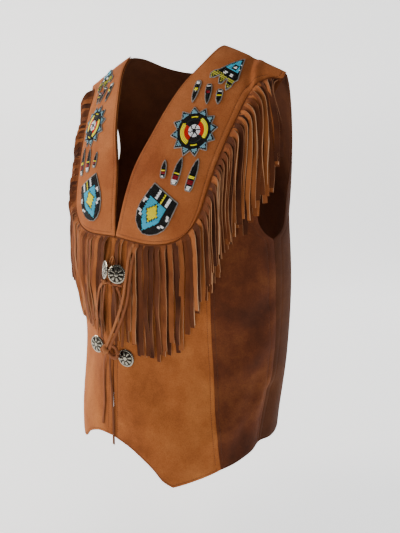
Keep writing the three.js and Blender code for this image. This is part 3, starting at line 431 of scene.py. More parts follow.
@dataclass(frozen=True)
class GlassBead:
    """Opaque glass seed bead: even colour with a sharp small highlight.

    Args: name: material name; colour: sRGB hex.
    """

    name: str
    colour: str

    def material(self) -> Material:
        """Returns: the bead material."""
        return NodeSketch(self.name).finished({
            "Base Color": linear(self.colour), "Roughness": 0.26, "Specular IOR Level": 0.16,
        })


@dataclass(frozen=True)
class Thread:
    """Spun thread or couched cord: matt, with a fine twist.

    Args: name: material name; dark, light: colours of its twist.
    """

    name: str
    dark: str
    light: str

    def material(self) -> Material:
        """Returns: the thread material."""
        sketch = NodeSketch(self.name)
        colour = sketch.ramp(sketch.noise(900.0, 2.0), [(0.35, self.dark), (0.65, self.light)])
        return sketch.finished({"Base Color": colour, "Roughness": 0.8, "Specular IOR Level": 0.3})


@dataclass(frozen=True)
class StampedSilver:
    """Worn sterling silver: bright on the high parts, darkened by tarnish in the stamped hollows. Its colours are
    darker and warmer than clean silver as painted reflection of dark brown surroundings.

    Args: name: material name; bright, dark: metal colours. The tone attribute is 1 in the deepest hollows.
    """

    name: str
    bright: str
    dark: str

    def material(self) -> Material:
        """Returns: the silver material."""
        sketch = NodeSketch(self.name)
        tarnish = sketch.sum_of(sketch.noise(420.0, 4.0, Roughness=0.65), 0.9, sketch.tone())
        colour = sketch.ramp(tarnish, [(0.46, self.bright), (0.85, self.dark)])
        spread = {"Value": tarnish, "From Min": 0.4, "From Max": 1.0, "To Min": 0.1, "To Max": 0.4}
        rough = sketch.add("MapRange", spread)
        return sketch.finished({"Base Color": colour, "Metallic": 1.0, "Roughness": rough.outputs[0]})


class Bead(IntEnum):
    """Bead colours, in the order of their materials on a beaded figure."""

    BLACK = 0
    WHITE = 1
    TURQUOISE = 2
    PALE_BLUE = 3
    YELLOW = 4
    RED = 5
    CRIMSON = 6
    OLIVE = 7
    GREY = 8

    @property
    def title(self) -> str:
        """Name of the colour's material."""
        return "glass beads, " + self.name.lower().replace("_", " ")


class Finishes:
    """All materials, made once."""

    BEAD_COLOURS = {
        Bead.BLACK: "#020203",
        Bead.WHITE: "#ffffff",
        Bead.TURQUOISE: "#3fbcdc",
        Bead.PALE_BLUE: "#7fb2c4",
        Bead.YELLOW: "#fff000",
        Bead.RED: "#d81c08",
        Bead.CRIMSON: "#8e1020",
        Bead.OLIVE: "#c0b93f",
        Bead.GREY: "#1c1f23",
    }

    def __init__(self) -> None:
        """Makes every material of the vest."""
        self.body = Suede("brushed suede, body", "#82441c", "#a25c2b", "#bc733a").material()
        # The side fronts' suede is darker than the body's partly as the leather's own tone and partly as painted
        # shade, for the side turned away from the key light.
        self.side = Suede("brushed suede, side", "#3c1c0d", "#5c2d16", "#7c4523").material()
        # Painted shade: the back's suede is darker than the body's to stand in for the shadow under the arm and round
        # the side.
        self.back = Suede("brushed suede, back", "#40200d", "#4f2914", "#5e351c").material()
        self.edge = Suede("burnished suede edge", "#3a1c0e", "#4f2a16", "#623820").material()
        self.yoke = Suede("brushed suede, yoke", "#8a4720", "#a55e30", "#b97141").material()
        self.fringe = CutSuede("cut suede, nap side", "#37190b", "#6a371a", "#9e5c2f").material()
        # The raw-edge finish is lighter than the strands partly as the cut edge's own colour and partly as painted
        # highlight where the edges catch the light.
        self.fringe_raw_edge_and_highlight = CutSuede("cut suede, raw edge", "#8e5a3a", "#bd875e", "#d8aa82").material()
        self.lace = CutSuede("lace leather", "#4e2a16", "#80492a", "#a5683f").material()
        self.stitch = Thread("waxed thread", "#3d2113", "#5f371f").material()
        self.outline = Thread("couched grey cord", "#5d5a56", "#a39e97").material()
        self.backing = Thread("black felt", "#0d0d10", "#1b1b1f").material()
        # Painted reflection: the silver's colours are dark warm greys that stand in for reflections of dark brown
        # surroundings; the darkening in the hollows is tarnish.
        self.silver = StampedSilver("worn silver", "#8f8a7c", "#1d1a15").material()
        self.beads = [GlassBead(kind.title, self.BEAD_COLOURS[kind]).material() for kind in Bead]


# ---------- the body's surface ----------


@dataclass(frozen=True)
class Fold:
    """A soft ridge (height > 0) or trough from one place to another.

    Args: turn, z, to_turn, to_z: its two ends in degrees round the body and height; height; width: half width.
    """

    turn: float
    z: float
    to_turn: float
    to_z: float
    height: float
    width: float


FOLDS = tuple(Fold(*row) for row in (
    (1, -500, 1, -600, -6, 15),
    (178, -500, 178, -600, -3, 18),
    (-30, -452, -8, -415, 3, 20),
    (-24, -395, -6, -350, -2.5, 20),
    (-28, -548, -8, -505, 2.6, 18),
    (-150, -440, -172, -410, 2.6, 20),
    (-62, -520, -74, -478, -1.8, 20),
    (62, -420, 55, -610, 5, 24),
    (84, -440, 86, -610, -4, 22),
    (112, -400, 120, -610, 5, 24),
    (70, -140, 60, -300, -3, 26),
    (110, -140, 118, -300, -3, 26),
    (-45, -24, -39, -56, -2.6, 6),
    (-40, -34, -33, -66, 2.2, 7),
    (-124, -42, -129, -84, -1.8, 5),
    (-130, -48, -136, -96, 1.6, 6),
    (-36, -560, -24, -500, 2.0, 12),
    (-18, -575, -12, -470, -2.2, 14),
))


GIRTH_HEIGHTS = (-700, -600, -450, -330, -235)


def by_height(*values: float) -> SmoothTable:
    """Args: values: one at each of the girths' heights, from the lowest up. Returns: the table."""
    return SmoothTable(list(zip(GIRTH_HEIGHTS, values)))


@dataclass(frozen=True)
class BodyForm:
    """The worn body that all leather follows: superellipse girths that close to the shoulder line.

    Args: chest_z: height where the girths start to close; shoulder_rise: rise from there to the shoulder line;
    shoulder_y: that line's depth; neck_x, shoulder_slope, neck_slope, neck_blend: its shape; roundness: the
    superellipse's power; chest_flare: widening towards the shoulder; prow_width: half width of the ridge at the
    centre front; front_bow, back_bow: how the front and back close; seam_half: half the shoulder seam's gap;
    mm_per_degree: round the body; half, front, back, centre, prow: half width, the two depths, the middle and the
    ridge by height.
    """

    chest_z: float = -235
    shoulder_rise: float = 300
    shoulder_y: float = 6
    neck_x: float = 98.9
    shoulder_slope: float = math.tan(math.radians(22.4))
    neck_slope: float = 0.22
    neck_blend: float = 14
    roundness: float = 2.32
    chest_flare: float = 0.06
    prow_width: float = 70
    front_bow: XYZ = (1.62, 0.8, 0.35)
    back_bow: float = 0.425
    seam_half: float = 0.15
    mm_per_degree: float = 2.9
    half: SmoothTable = by_height(182.1, 182.1, 194.3, 200.3, 193.4)
    front: SmoothTable = by_height(144.8, 142.8, 124.6, 128.2, 118.0)
    back: SmoothTable = by_height(136.3, 134.3, 124.5, 128.7, 131.6)
    centre: SmoothTable = by_height(5.8, 5.8, 15.2, 7.0, 2.6)
    prow: SmoothTable = by_height(3.9, 3.9, 24.0, 8.3, -2.9)

    def shoulder_z(self, x: Array) -> Array:
        """Args: x: across the body. Returns: the shoulder line's height."""
        past = np.abs(x) - self.neck_x
        eased = self.neck_blend * np.log1p(np.exp(past / self.neck_blend))
        return -eased * (self.shoulder_slope - self.neck_slope) - past * self.neck_slope

    def point(self, place: Array) -> Array:
        """Point of the smooth body. A girth is a superellipse |x|^n + |y|^n = 1, narrowed to the shoulder line.

        Args: place: (..., 2) turn and rise.
        Returns: (..., 3) points.
        """
        turn, rise = place[..., 0], place[..., 1]
        z = self.chest_z + np.minimum(rise, 0)
        cos, sin = np.cos(turn), np.sin(turn)
        ahead = sin < 0
        x = self.half(z) * np.sign(cos) * np.abs(cos) ** (2 / self.roundness)
        depth = np.where(ahead, self.front(z), self.back(z)) * np.sign(sin) * np.abs(sin) ** (2 / self.roundness)
        prow = np.where(ahead, self.prow(z) * np.exp(-((x / self.prow_width) ** 2)), 0)
        y = self.centre(z) + depth - prow
        t = np.sin(np.clip(rise / self.shoulder_rise, 0, 1) * np.pi / 2)
        power, root, lean = self.front_bow
        front_bow = np.maximum(1 - t**power, 0) ** root - lean * t * (1 - t) ** 2
        bow = np.where(ahead, front_bow, np.maximum(1 - t * t, 0) ** self.back_bow)
        x = x * (1 + self.chest_flare * t)
        y = self.shoulder_y + (y - self.shoulder_y) * bow
        return np.stack([x, y, z + (self.shoulder_z(x) - self.chest_z) * t], -1)

    def steps(self, place: Array) -> tuple[Array, Array]:
        """Args: place: (..., 2). Returns: the surface's steps per radian of turn and per millimetre of rise."""
        step = 0.002
        turn, rise = np.array([step, 0]), np.array([0, 0.5])
        across = (self.point(place + turn) - self.point(place - turn)) / (2 * step)
        up = self.point(place + rise) - self.point(place - rise)
        return across, up

    def normal(self, place: Array) -> Array:
        """Args: place: (..., 2). Returns: outward unit normals; on the shoulder line, that line's own."""
        across, up = self.steps(place)
        x = self.point(place)[..., 0]
        slope = (self.shoulder_z(x + 1) - self.shoulder_z(x - 1)) / 2
        ridge = np.stack([-slope, np.zeros_like(x), np.ones_like(x)], -1)
        on_shoulder = (place[..., 1] > self.shoulder_rise - 1)[..., None]
        return unit(np.where(on_shoulder, ridge, np.cross(across, up)))

    def fold_height(self, place: Array) -> Array:
        """Height of the folds: each is height * exp(-(distance to its line / width) squared).

        Args: place: (..., 2).
        Returns: heights.
        """
        z = self.point(place)[..., 2]
        degrees = np.degrees(place[..., 0])
        total = np.zeros_like(z)
        for fold in FOLDS:
            away = np.mod(degrees - fold.turn + 180, 360) - 180
            run = np.array([(fold.to_turn - fold.turn) * self.mm_per_degree, fold.to_z - fold.z])
            start = np.stack([away * self.mm_per_degree, z - fold.z], -1)
            along = np.clip(start @ run / (run @ run), 0, 1)
            off = np.linalg.norm(start - along[..., None] * run, axis=-1)
            total += fold.height * np.exp(-((off / fold.width) ** 2))
        return total

    def leather(self, place: Array, lift: Array | float) -> Array:
        """Args: place: (..., 2); lift: out from the body. Returns: points of the leather there."""
        on_shoulder = place[..., 1] > self.shoulder_rise - 1
        part = np.where(on_shoulder, np.where(np.sin(place[..., 0]) < 0, -self.seam_half, self.seam_half), 0)
        out = (lift + self.fold_height(place))[..., None]
        shift = np.stack([np.zeros_like(part), part, np.zeros_like(part)], -1)
        return self.point(place) + self.normal(place) * out + shift

    def place(self, x: Array, z: Array, back: bool = False) -> Array:
        """Args: x, z: seen from the front or the back. Returns: (..., 2) places there."""
        x, z = np.asarray(x, float), np.asarray(z, float)
        share = np.clip((z - self.chest_z) / (self.shoulder_z(x) - self.chest_z), 0, 1)
        high = self.shoulder_rise * np.arcsin(share) * 2 / np.pi
        rise = np.where(z <= self.chest_z, z - self.chest_z, high)
        half = self.half(np.minimum(z, self.chest_z)) * (1 + self.chest_flare * share)
        acute = np.arccos(np.minimum(np.abs(x) / half, 1) ** (self.roundness / 2))
        turn = np.where(x < 0, np.pi - acute, acute)
        return np.stack([turn if back else -turn, rise], -1)

    def on_shoulder(self, x: Array, back: bool = False) -> Array:
        """Args: x: across the body. Returns: places on the shoulder line."""
        place = self.place(x, self.shoulder_z(np.asarray(x, float)), back)
        return np.stack([place[..., 0], np.full_like(place[..., 0], self.shoulder_rise)], -1)

    def slide(self, place: Array, offset: Array) -> Array:
        """Args: place: (..., 2); offset: (..., 3) short vectors in the surface. Returns: the places reached."""
        across, up = self.steps(place)
        aa, bb, ab = (np.sum(p * q, -1) for p, q in ((across, across), (up, up), (across, up)))
        da, db = np.sum(across * offset, -1), np.sum(up * offset, -1)
        det = aa * bb - ab * ab
        return place + np.stack([(da * bb - db * ab) / det, (db * aa - da * ab) / det], -1)


BODY = BodyForm()


def surface_down(normal: Array) -> Array:
    """Args: normal: (..., 3). Returns: the unit direction in the surface that points most nearly down."""
    return unit(np.array([0, 0, -1.0]) + normal * normal[..., 2:])


def standing_axes(place: Array) -> tuple[Array, Array, Array]:
    """Args: place: (2,). Returns: the unit directions to the right, up the surface and out of it."""
    normal = BODY.normal(place)
    up = -surface_down(normal)
    return np.cross(up, normal), up, normal


def mirrored(place: Array, side: int) -> Array:
    """Args: place: (..., 2); side: 1 left or -1 right. Returns: the place on that side of the body."""
    if side > 0:
        return place
    return np.stack([np.pi - place[..., 0], place[..., 1]], -1)


# ---------- pattern pieces ----------

SPLIT = 0.56
PLACE_SCALE = (160, 1)


def place_curve(places: Sequence[Array]) -> SmoothCurve:
    """Args: places: single places or rows of them. Returns: the smooth curve through them."""
    return SmoothCurve(np.vstack([np.atleast_2d(p) for p in places]), PLACE_SCALE)


def seen(points: Sequence[XY], back: bool = False) -> Array:
    """Args: points: (x, z) pairs seen from the front or back. Returns: their places."""
    x, z = np.array(points, float).T
    return BODY.place(x, z, back)


def joined_curve(first: Curve, second: Curve, at: float) -> Curve:
    """Args: first, second: curves; at: the share where they meet. Returns: one curve."""

    def whole(share: Array) -> Array:
        """Args: share. Returns: places of the first curve, then of the second."""
        low = first(np.clip(share / at, 0, 1))
        high = second(np.clip((share - at) / (1 - at), 0, 1))
        return np.where((share <= at)[:, None], low, high)

    return whole


def shifted(curve: Curve, turn: float) -> Curve:
    """Args: curve; turn: radians round the body. Returns: the curve turned round the body."""
    return lambda share: curve(share) + np.array([turn, 0])


@dataclass(frozen=True)
class VestPattern:
    """Seams and edges of the vest as curves of places, seen from the front as x and z.

    Args: v_z: the V's foot; centre_gap, hem_gap, gap_top_z: half the gap between the fronts at the V and at the
    hem, and where it starts to open; centre_hem_z, side_hem_z, back_hem_z: hem heights; armhole_z: the armhole's
    foot; tip_x, princess_top_x: the shoulder's end and the front seam's top; side_turn: half the side seam's gap
    as a turn; neck_points, hem_points, back_neck, foot_points, side_points: points of the edges; princess: the
    front seam's x by height; front_low, back_low: (degrees, z) low on the armhole; front_high, back_high: (x, z)
    high on it.
    """

    v_z: float = -262.2
    centre_gap: float = 0.6
    hem_gap: float = 1.6
    gap_top_z: float = -460
    centre_hem_z: float = -585
    side_hem_z: float = -588
    back_hem_z: float = -586
    armhole_z: float = -261.3
    tip_x: float = 204.7
    princess_top_x: float = 146
    side_turn: float = (0.15 / 128) ** 1.16
    neck_points: tuple[XY, ...] = ((1.2, -262.2), (17.5, -172), (42, -115), (65, -60), (86, -24))
    princess: SmoothTable = SmoothTable([
        (-610, 164.5), (-556, 160), (-492, 154), (-430, 151.5), (-338, 155), (-235, 153), (-120, 149), (-20, 146),
    ])
    hem_points: tuple[XY, ...] = (
        (36, -591), (62, -603), (80, -615), (96, -631), (110.5, -638), (138, -623), (164, -606.5),
    )
    front_low: tuple[XY, ...] = ((-7, -249), (-11, -235))
    front_high: tuple[XY, ...] = ((189, -203), (184, -150), (187, -100), (196, -66))
    back_low: tuple[XY, ...] = ((8, -250), (13, -233))
    back_high: tuple[XY, ...] = ((191, -200), (189, -150), (192, -100), (199, -68))
    back_neck: tuple[XY, ...] = ((82, -12), (52, -22), (0, -27))
    foot_points: tuple[XY, ...] = ((1.2, -265.5), (35, -267.5), (65, -268.5), (93, -265), (109, -259), (121, -250))
    side_points: tuple[XY, ...] = (
        (121, -250), (131, -236), (137.5, -219), (142, -193), (146.5, -163), (154, -126), (160.5, -97), (166, -71),
        (174, -55), (187, -48), (201, -49),
    )

    def centre_edge(self, share: Array) -> Array:
        """Args: share: from the hem (0) to the V (1). Returns: places of the centre front edge."""
        z = self.centre_hem_z + (self.v_z - self.centre_hem_z) * np.asarray(share, float)
        drop = np.clip((self.gap_top_z - z) / (self.gap_top_z - self.centre_hem_z), 0, 1)
        return BODY.place(self.centre_gap + (self.hem_gap - self.centre_gap) * drop**2, z)

    def neck(self) -> SmoothCurve:
        """Returns: the neck edge, from the V to the shoulder."""
        return place_curve([seen(self.neck_points), BODY.on_shoulder(BODY.neck_x)])

    def princess_curve(self) -> Curve:
        """Returns: the seam between the centre and side fronts, from the hem to the shoulder."""
        hem_z = self.hem_points[-1][1]

        def at(z: Array) -> Array:
            """Args: z: heights. Returns: the seam's places there."""
            return BODY.place(self.princess(z), z)

        heights = np.array([self.armhole_z, -220, -170, -120, -75])
        above = place_curve([at(heights), BODY.on_shoulder(self.princess_top_x)])
        return joined_curve(lambda share: at(hem_z + (self.armhole_z - hem_z) * share), above, SPLIT)

    def armhole(self, back: bool) -> Curve:
        """Args: back: which body half. Returns: the side seam and then the armhole edge, from the hem up."""
        sign = 1 if back else -1
        low, high = (self.back_low, self.back_high) if back else (self.front_low, self.front_high)
        start = np.array([sign * self.side_turn, self.armhole_z - BODY.chest_z])
        lower = np.array([[math.radians(turn), z - BODY.chest_z] for turn, z in low])
        above = place_curve([start, lower, seen(high, back), BODY.on_shoulder(self.tip_x, back)])

        def seam(share: Array) -> Array:
            """Args: share: from the hem to the armhole. Returns: places of the side seam."""
            z = self.side_hem_z + (self.armhole_z - self.side_hem_z) * share
            return np.stack([np.full_like(z, sign * self.side_turn), z - BODY.chest_z], -1)

        return joined_curve(seam, above, SPLIT)

    def centre_hem(self) -> Curve:
        """Returns: the centre front's hem, with its corner at the long point."""
        start = self.centre_edge(np.array([0.0]))
        before = place_curve([start, seen(self.hem_points[:5])])
        return joined_curve(before, place_curve([seen(self.hem_points[4:])]), 0.625)

    def side_hem(self) -> Curve:
        """Returns: the side front's hem."""
        last = np.array([[math.radians(-9), -593.5 - BODY.chest_z], [-self.side_turn, self.side_hem_z - BODY.chest_z]])
        return place_curve([seen([self.hem_points[-1], (175, -600)]), last])

    def back_hem(self) -> Curve:
        """Returns: the left half of the back's hem."""
        rows = [(self.side_turn, self.side_hem_z), (math.pi / 4, self.back_hem_z - 2), (math.pi / 2, self.back_hem_z)]
        return place_curve([np.array([[turn, z - BODY.chest_z] for turn, z in rows])])

    def back_top(self) -> Curve:
        """Returns: the left shoulder and the back neck to its centre."""
        neck = place_curve([BODY.on_shoulder(BODY.neck_x, True), seen(self.back_neck, True)])
        return joined_curve(shoulder(self.tip_x, BODY.neck_x, True), neck, 0.5)

    def yoke_foot(self) -> SmoothCurve:
        """Returns: the yoke's lower edge."""
        return place_curve([seen(self.foot_points)])

    def yoke_side(self) -> SmoothCurve:
        """Returns: the yoke's side edge, up to the shoulder."""
        return place_curve([seen(self.side_points), BODY.on_shoulder(self.tip_x - 1)])

    def yoke_neck(self) -> SmoothCurve:
        """Returns: the yoke's neck edge."""
        return place_curve([seen(self.foot_points[:1]), seen(self.neck_points), BODY.on_shoulder(BODY.neck_x)])


PATTERN = VestPattern()


def shoulder(start: float, end: float, back: bool = False) -> Curve:
    """Args: start, end: x on the shoulder line; back: which side of it. Returns: the curve between them."""
    return lambda share: BODY.on_shoulder(start + (end - start) * np.asarray(share, float), back)


def two_halves(half: Curve) -> Curve:
    """Args: half: a curve on the left. Returns: it and its mirror image as one curve, left to right."""

    def whole(share: Array) -> Array:
        """Args: share: from left to right. Returns: places there."""
        left = half(np.clip(share * 2, 0, 1))
        right = mirrored(half(np.clip((1 - share) * 2, 0, 1)), -1)
        return np.where((share <= 0.5)[:, None], left, right)

    return whole


BORDER_LINES = (0, 0.35, 0.9, 1.8, 2.9, 3.6, 4.2, 4.8, 5.6, 6.6)
BORDER_WIDTH = 8.4


def border_shares(span: float, step: float) -> Array:
    """Args: span: length of the sheet; step: spacing inside. Returns: shares 0 to 1, close at both borders."""
    near, inset = np.array(BORDER_LINES) / span, BORDER_WIDTH / span
    middle = np.linspace(inset, 1 - inset, max(int(span / step), 3))
    return np.concatenate([near, middle, 1 - near[::-1]])


@dataclass(frozen=True)
class LeatherSheet:
    """A sewn sheet of leather between four curves of places, with rolled borders and a stitched groove.

    Args: name; bottom, top, inner, outer: its edges; side: 1 left or -1 right; low, high: lifts of its two faces;
    width, height: about how large it is; step: spacing of its grid; roll, roll_width: how far its border rounds
    down and over what width; groove, groove_width: depth and width of the stitched line; inset: its distance from
    the border.
    """

    name: str
    bottom: Curve
    top: Curve
    inner: Curve
    outer: Curve
    side: int
    low: float
    high: float
    width: float
    height: float
    step: float = 3.4
    roll: float = 0.8
    roll_width: float = 1.5
    groove: float = 0.5
    groove_width: float = 0.8
    inset: float = 4.2

    def places(self, u: Array, v: Array) -> Array:
        """A Coons patch: the blend of opposite edges less the blend of the corners.

        Args: u, v: shares across and up.
        Returns: (v, u, 2) places.
        """
        ends = np.array([0.0, 1.0])
        bottom, top = self.bottom(u)[None], self.top(u)[None]
        inner, outer = self.inner(v)[:, None], self.outer(v)[:, None]
        a, b = u[None, :, None], v[:, None, None]
        (c00, c01), (c10, c11) = self.inner(ends), self.outer(ends)
        corners = (1 - a) * ((1 - b) * c00 + b * c01) + a * ((1 - b) * c10 + b * c11)
        return mirrored((1 - b) * bottom + b * top + (1 - a) * inner + a * outer - corners, self.side)

    def lift_at(self, u: Array, v: Array) -> Array:
        """Args: u, v: shares. Returns: (v, u) lift of the outer face, rolled down at the border and grooved."""
        from_side = np.minimum(u, 1 - u)[None] * self.width
        from_end = np.minimum(v, 1 - v)[:, None] * self.height
        away = np.minimum(from_side, from_end)
        rolled = self.roll * (1 - np.clip(away / self.roll_width, 0, 1)) ** 2
        return self.high - rolled - self.groove * np.exp(-(((away - self.inset) / self.groove_width) ** 2))

    def shell(self) -> Shell:
        """Returns: the sheet's closed wall."""
        u, v = border_shares(self.width, self.step), border_shares(self.height, self.step)
        u = u[:: self.side]
        places = self.places(u, v)
        outer = BODY.leather(places, self.lift_at(u, v))
        return slab(outer, BODY.leather(places, self.low))

    def line(self, u: Array, v: Array) -> Array:
        """Args: u, v: shares along a line on the sheet, one of them a single value. Returns: (n, 3) outer points."""
        return BODY.leather(self.places(u, v), self.high - self.groove + 0.05).reshape(-1, 3)


@dataclass(frozen=True)
class Stitching:
    """Rows of saddle stitches: short rounded bars, end to end.

    Args: PROFILE: shares of the length and the radius; pitch: from stitch to stitch; length, radius: of one stitch.
    """

    PROFILE: ClassVar[tuple[XY, ...]] = ((-0.5, 0.45), (-0.32, 1), (0.32, 1), (0.5, 0.45))
    pitch: float = 3.4
    length: float = 2.5
    radius: float = 0.34

    def along(self, line: Array) -> Shell:
        """Args: line: (n, 3) points, close together. Returns: stitches along it, each thinner at its ends."""
        gone = running_length(line)
        at = np.arange(self.pitch / 2, gone[-1], self.pitch)
        half = self.length / 2
        start, end = (np.stack([np.interp(at + d, gone, c) for c in line.T], -1) for d in (-half, half))
        along = unit(end - start)
        wide = unit(np.cross(along, np.array([0.31, 0.17, 0.93])))
        axes = (along, wide, np.cross(along, wide))
        profile = [(self.length * share, self.radius * girth) for share, girth in self.PROFILE]
        angle = np.arange(4) * np.pi / 2 + np.pi / 4
        return swept(barrels((start + end) / 2, axes, profile, angle))

    def round_sheet(self, cut: LeatherSheet, share: Array, sides: bool = True) -> Shell:
        """Args: cut: the sheet; share: where along each edge; sides: whether its long edges are stitched too.
        Returns: the stitches along its foot and its sides."""
        near, low = np.array([cut.inset / cut.width]), np.array([cut.inset / cut.height])
        rows = [cut.line(share, low)]
        if sides:
            rows += [cut.line(near, share), cut.line(1 - near, share)]
        return Shell.joined([self.along(row) for row in rows])


class BodyPanels:
    """The five panels of the body, with their seams and stitched hems."""

    WALL = 2.0
    SEAM_TURN = 0.15 / 150

    def __init__(self) -> None:
        """Lays out the five cuts, each with its material slot and its flat width, length and area in metres."""
        princess, left = PATTERN.princess_curve(), PATTERN.armhole(True)
        top_x, tip_x = PATTERN.princess_top_x, PATTERN.tip_x
        self.cuts: list[tuple[LeatherSheet, str, XYZ]] = []
        for side, label in SIDES:
            self.cuts.append((LeatherSheet(
                f"front_centre_{label}", PATTERN.centre_hem(), shoulder(BODY.neck_x, top_x),
                joined_curve(PATTERN.centre_edge, PATTERN.neck(), SPLIT), shifted(princess, -self.SEAM_TURN), side,
                -self.WALL, 0, 120, 600,
            ), "body_suede", (0.165, 0.69, 0.079)))
            # The side fronts take the suede darkened partly as painted shade.
            self.cuts.append((LeatherSheet(
                f"front_side_{label}", PATTERN.side_hem(), shoulder(top_x, tip_x), shifted(princess, self.SEAM_TURN),
                PATTERN.armhole(False), side, -self.WALL, 0, 70, 590,
            ), "side_suede", (0.12, 0.62, 0.042)))
        self.cuts.append((LeatherSheet(
            "back", two_halves(PATTERN.back_hem()), two_halves(PATTERN.back_top()), left,
            lambda share: mirrored(left(share), -1), 1, -self.WALL, 0, 500, 580, step=4.2,
        ), "body_suede", (0.56, 0.62, 0.3)))

    def build(self, finishes: Finishes) -> list[Piece]:
        """Args: finishes: the materials. Returns: the panels, each with its stitches as a piece of its own."""
        made = []
        for cut, slot, (width, length, area) in self.cuts:
            is_back = cut.name == "back"
            # The back panel takes the suede darkened as painted shade.
            leather = finishes.back if is_back else finishes.side if slot == "side_suede" else finishes.body
            panel = make_object(f"suede_{cut.name}", cut.shell(), [leather, finishes.edge])
            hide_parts(cut.name)
            thread = Stitching().round_sheet(cut, np.linspace(0.02, 0.98, 240), sides=not is_back)
            stitches = make_object(f"stitches_{cut.name}", thread, [finishes.stitch])
            made += [panel, stitches]
        return made


# ---------- yokes and fringe ----------


@dataclass(frozen=True)
class FringeEdge:
    """The yoke's free edge, from the centre front along the foot and up the side to the shoulder.

    Args: places: along it; lengths: the length gone at each.
    """

    places: Array
    lengths: Array

    @staticmethod
    def made() -> "FringeEdge":
        """Returns: the edge up to where its strands end at the shoulder."""
        corner_x, corner_z = PATTERN.side_points[-1]
        curve = PATTERN.yoke_side()
        shares = np.arange(1, 0.5, -0.002)
        tops = BODY.point(curve(shares))
        end = shares[np.argmax((tops[:, 2] <= corner_z + 0.4) & (tops[:, 0] <= corner_x - 1.5))]
        share = np.linspace(0, 1, 201)
        places = np.vstack([PATTERN.yoke_foot()(share[:-1]), curve(end * share)])
        return FringeEdge(places, running_length(BODY.point(places)))

    @property
    def total(self) -> float:
        """Length of the edge."""
        return float(self.lengths[-1])

    def at(self, distance: Array) -> Array:
        """Args: distance: along the edge. Returns: places there."""
        inside = np.clip(distance, 0, self.total)
        return np.stack([np.interp(inside, self.lengths, column) for column in self.places.T], -1)

    def frame(self, distance: Array) -> tuple[Array, Array, Array]:
        """Args: distance: along the edge. Returns: places, and unit vectors along the edge and out of it."""
        place = self.at(distance)
        along = unit(BODY.point(self.at(distance + 3)) - BODY.point(self.at(distance - 3)))
        return place, along, unit(np.cross(along, BODY.normal(place)))


@dataclass(frozen=True)
class FringeStyle:
    """Sizes of the fringe.

    Args: pitch: from root to root; width, wall: of a strand; strip: the uncut strip's inner and outer distance
    from the yoke's edge; strip_lift, strip_wall: its lift and wall; turn: length of the bend at a root;
    shoulder_arch: how much longer it is at the shoulder; stations: along a strand; sleeve_lift: how far strands
    stand off over the arm; shoulder_fan: how far they spread there; stem_x, stem_clearance: the conchos' posts
    and the room left at them; upper_kept: share of the upper layer's strands; lean, wave, uneven: how much
    headings, waves and lengths vary; start: first x on each side; left, right: (share of the edge, length) on
    each side.
    """

    pitch: float = 4.6
    width: float = 6.6
    wall: float = 1.3
    strip: XY = (0.9, 2.3)
    strip_lift: float = 0.9
    strip_wall: float = 1.9
    turn: float = 14
    shoulder_arch: float = 20
    stations: int = 64
    sleeve_lift: float = 13
    shoulder_fan: float = 0.05
    stem_x: XY = (-4, 21.5)
    stem_clearance: float = 5.6
    upper_kept: float = 0.92
    lean: float = 0.011
    wave: XY = (0.01, 0.06)
    uneven: float = 0.03
    start: XY = (9, 19)
    left: tuple[XY, ...] = (
        (0, 157), (0.11, 157), (0.13, 174), (0.25, 170), (0.3, 160), (0.34, 139), (0.4, 114), (0.46, 113), (0.6, 123),
        (0.7, 133), (0.78, 150), (0.87, 155), (0.93, 140), (0.98, 96),
    )
    right: tuple[XY, ...] = (
        (0, 151), (0.11, 151), (0.13, 152), (0.25, 163), (0.3, 170), (0.34, 166), (0.4, 152), (0.46, 142), (0.6, 134),
        (0.7, 136), (0.78, 148), (0.87, 150), (0.93, 138), (0.98, 100),
    )


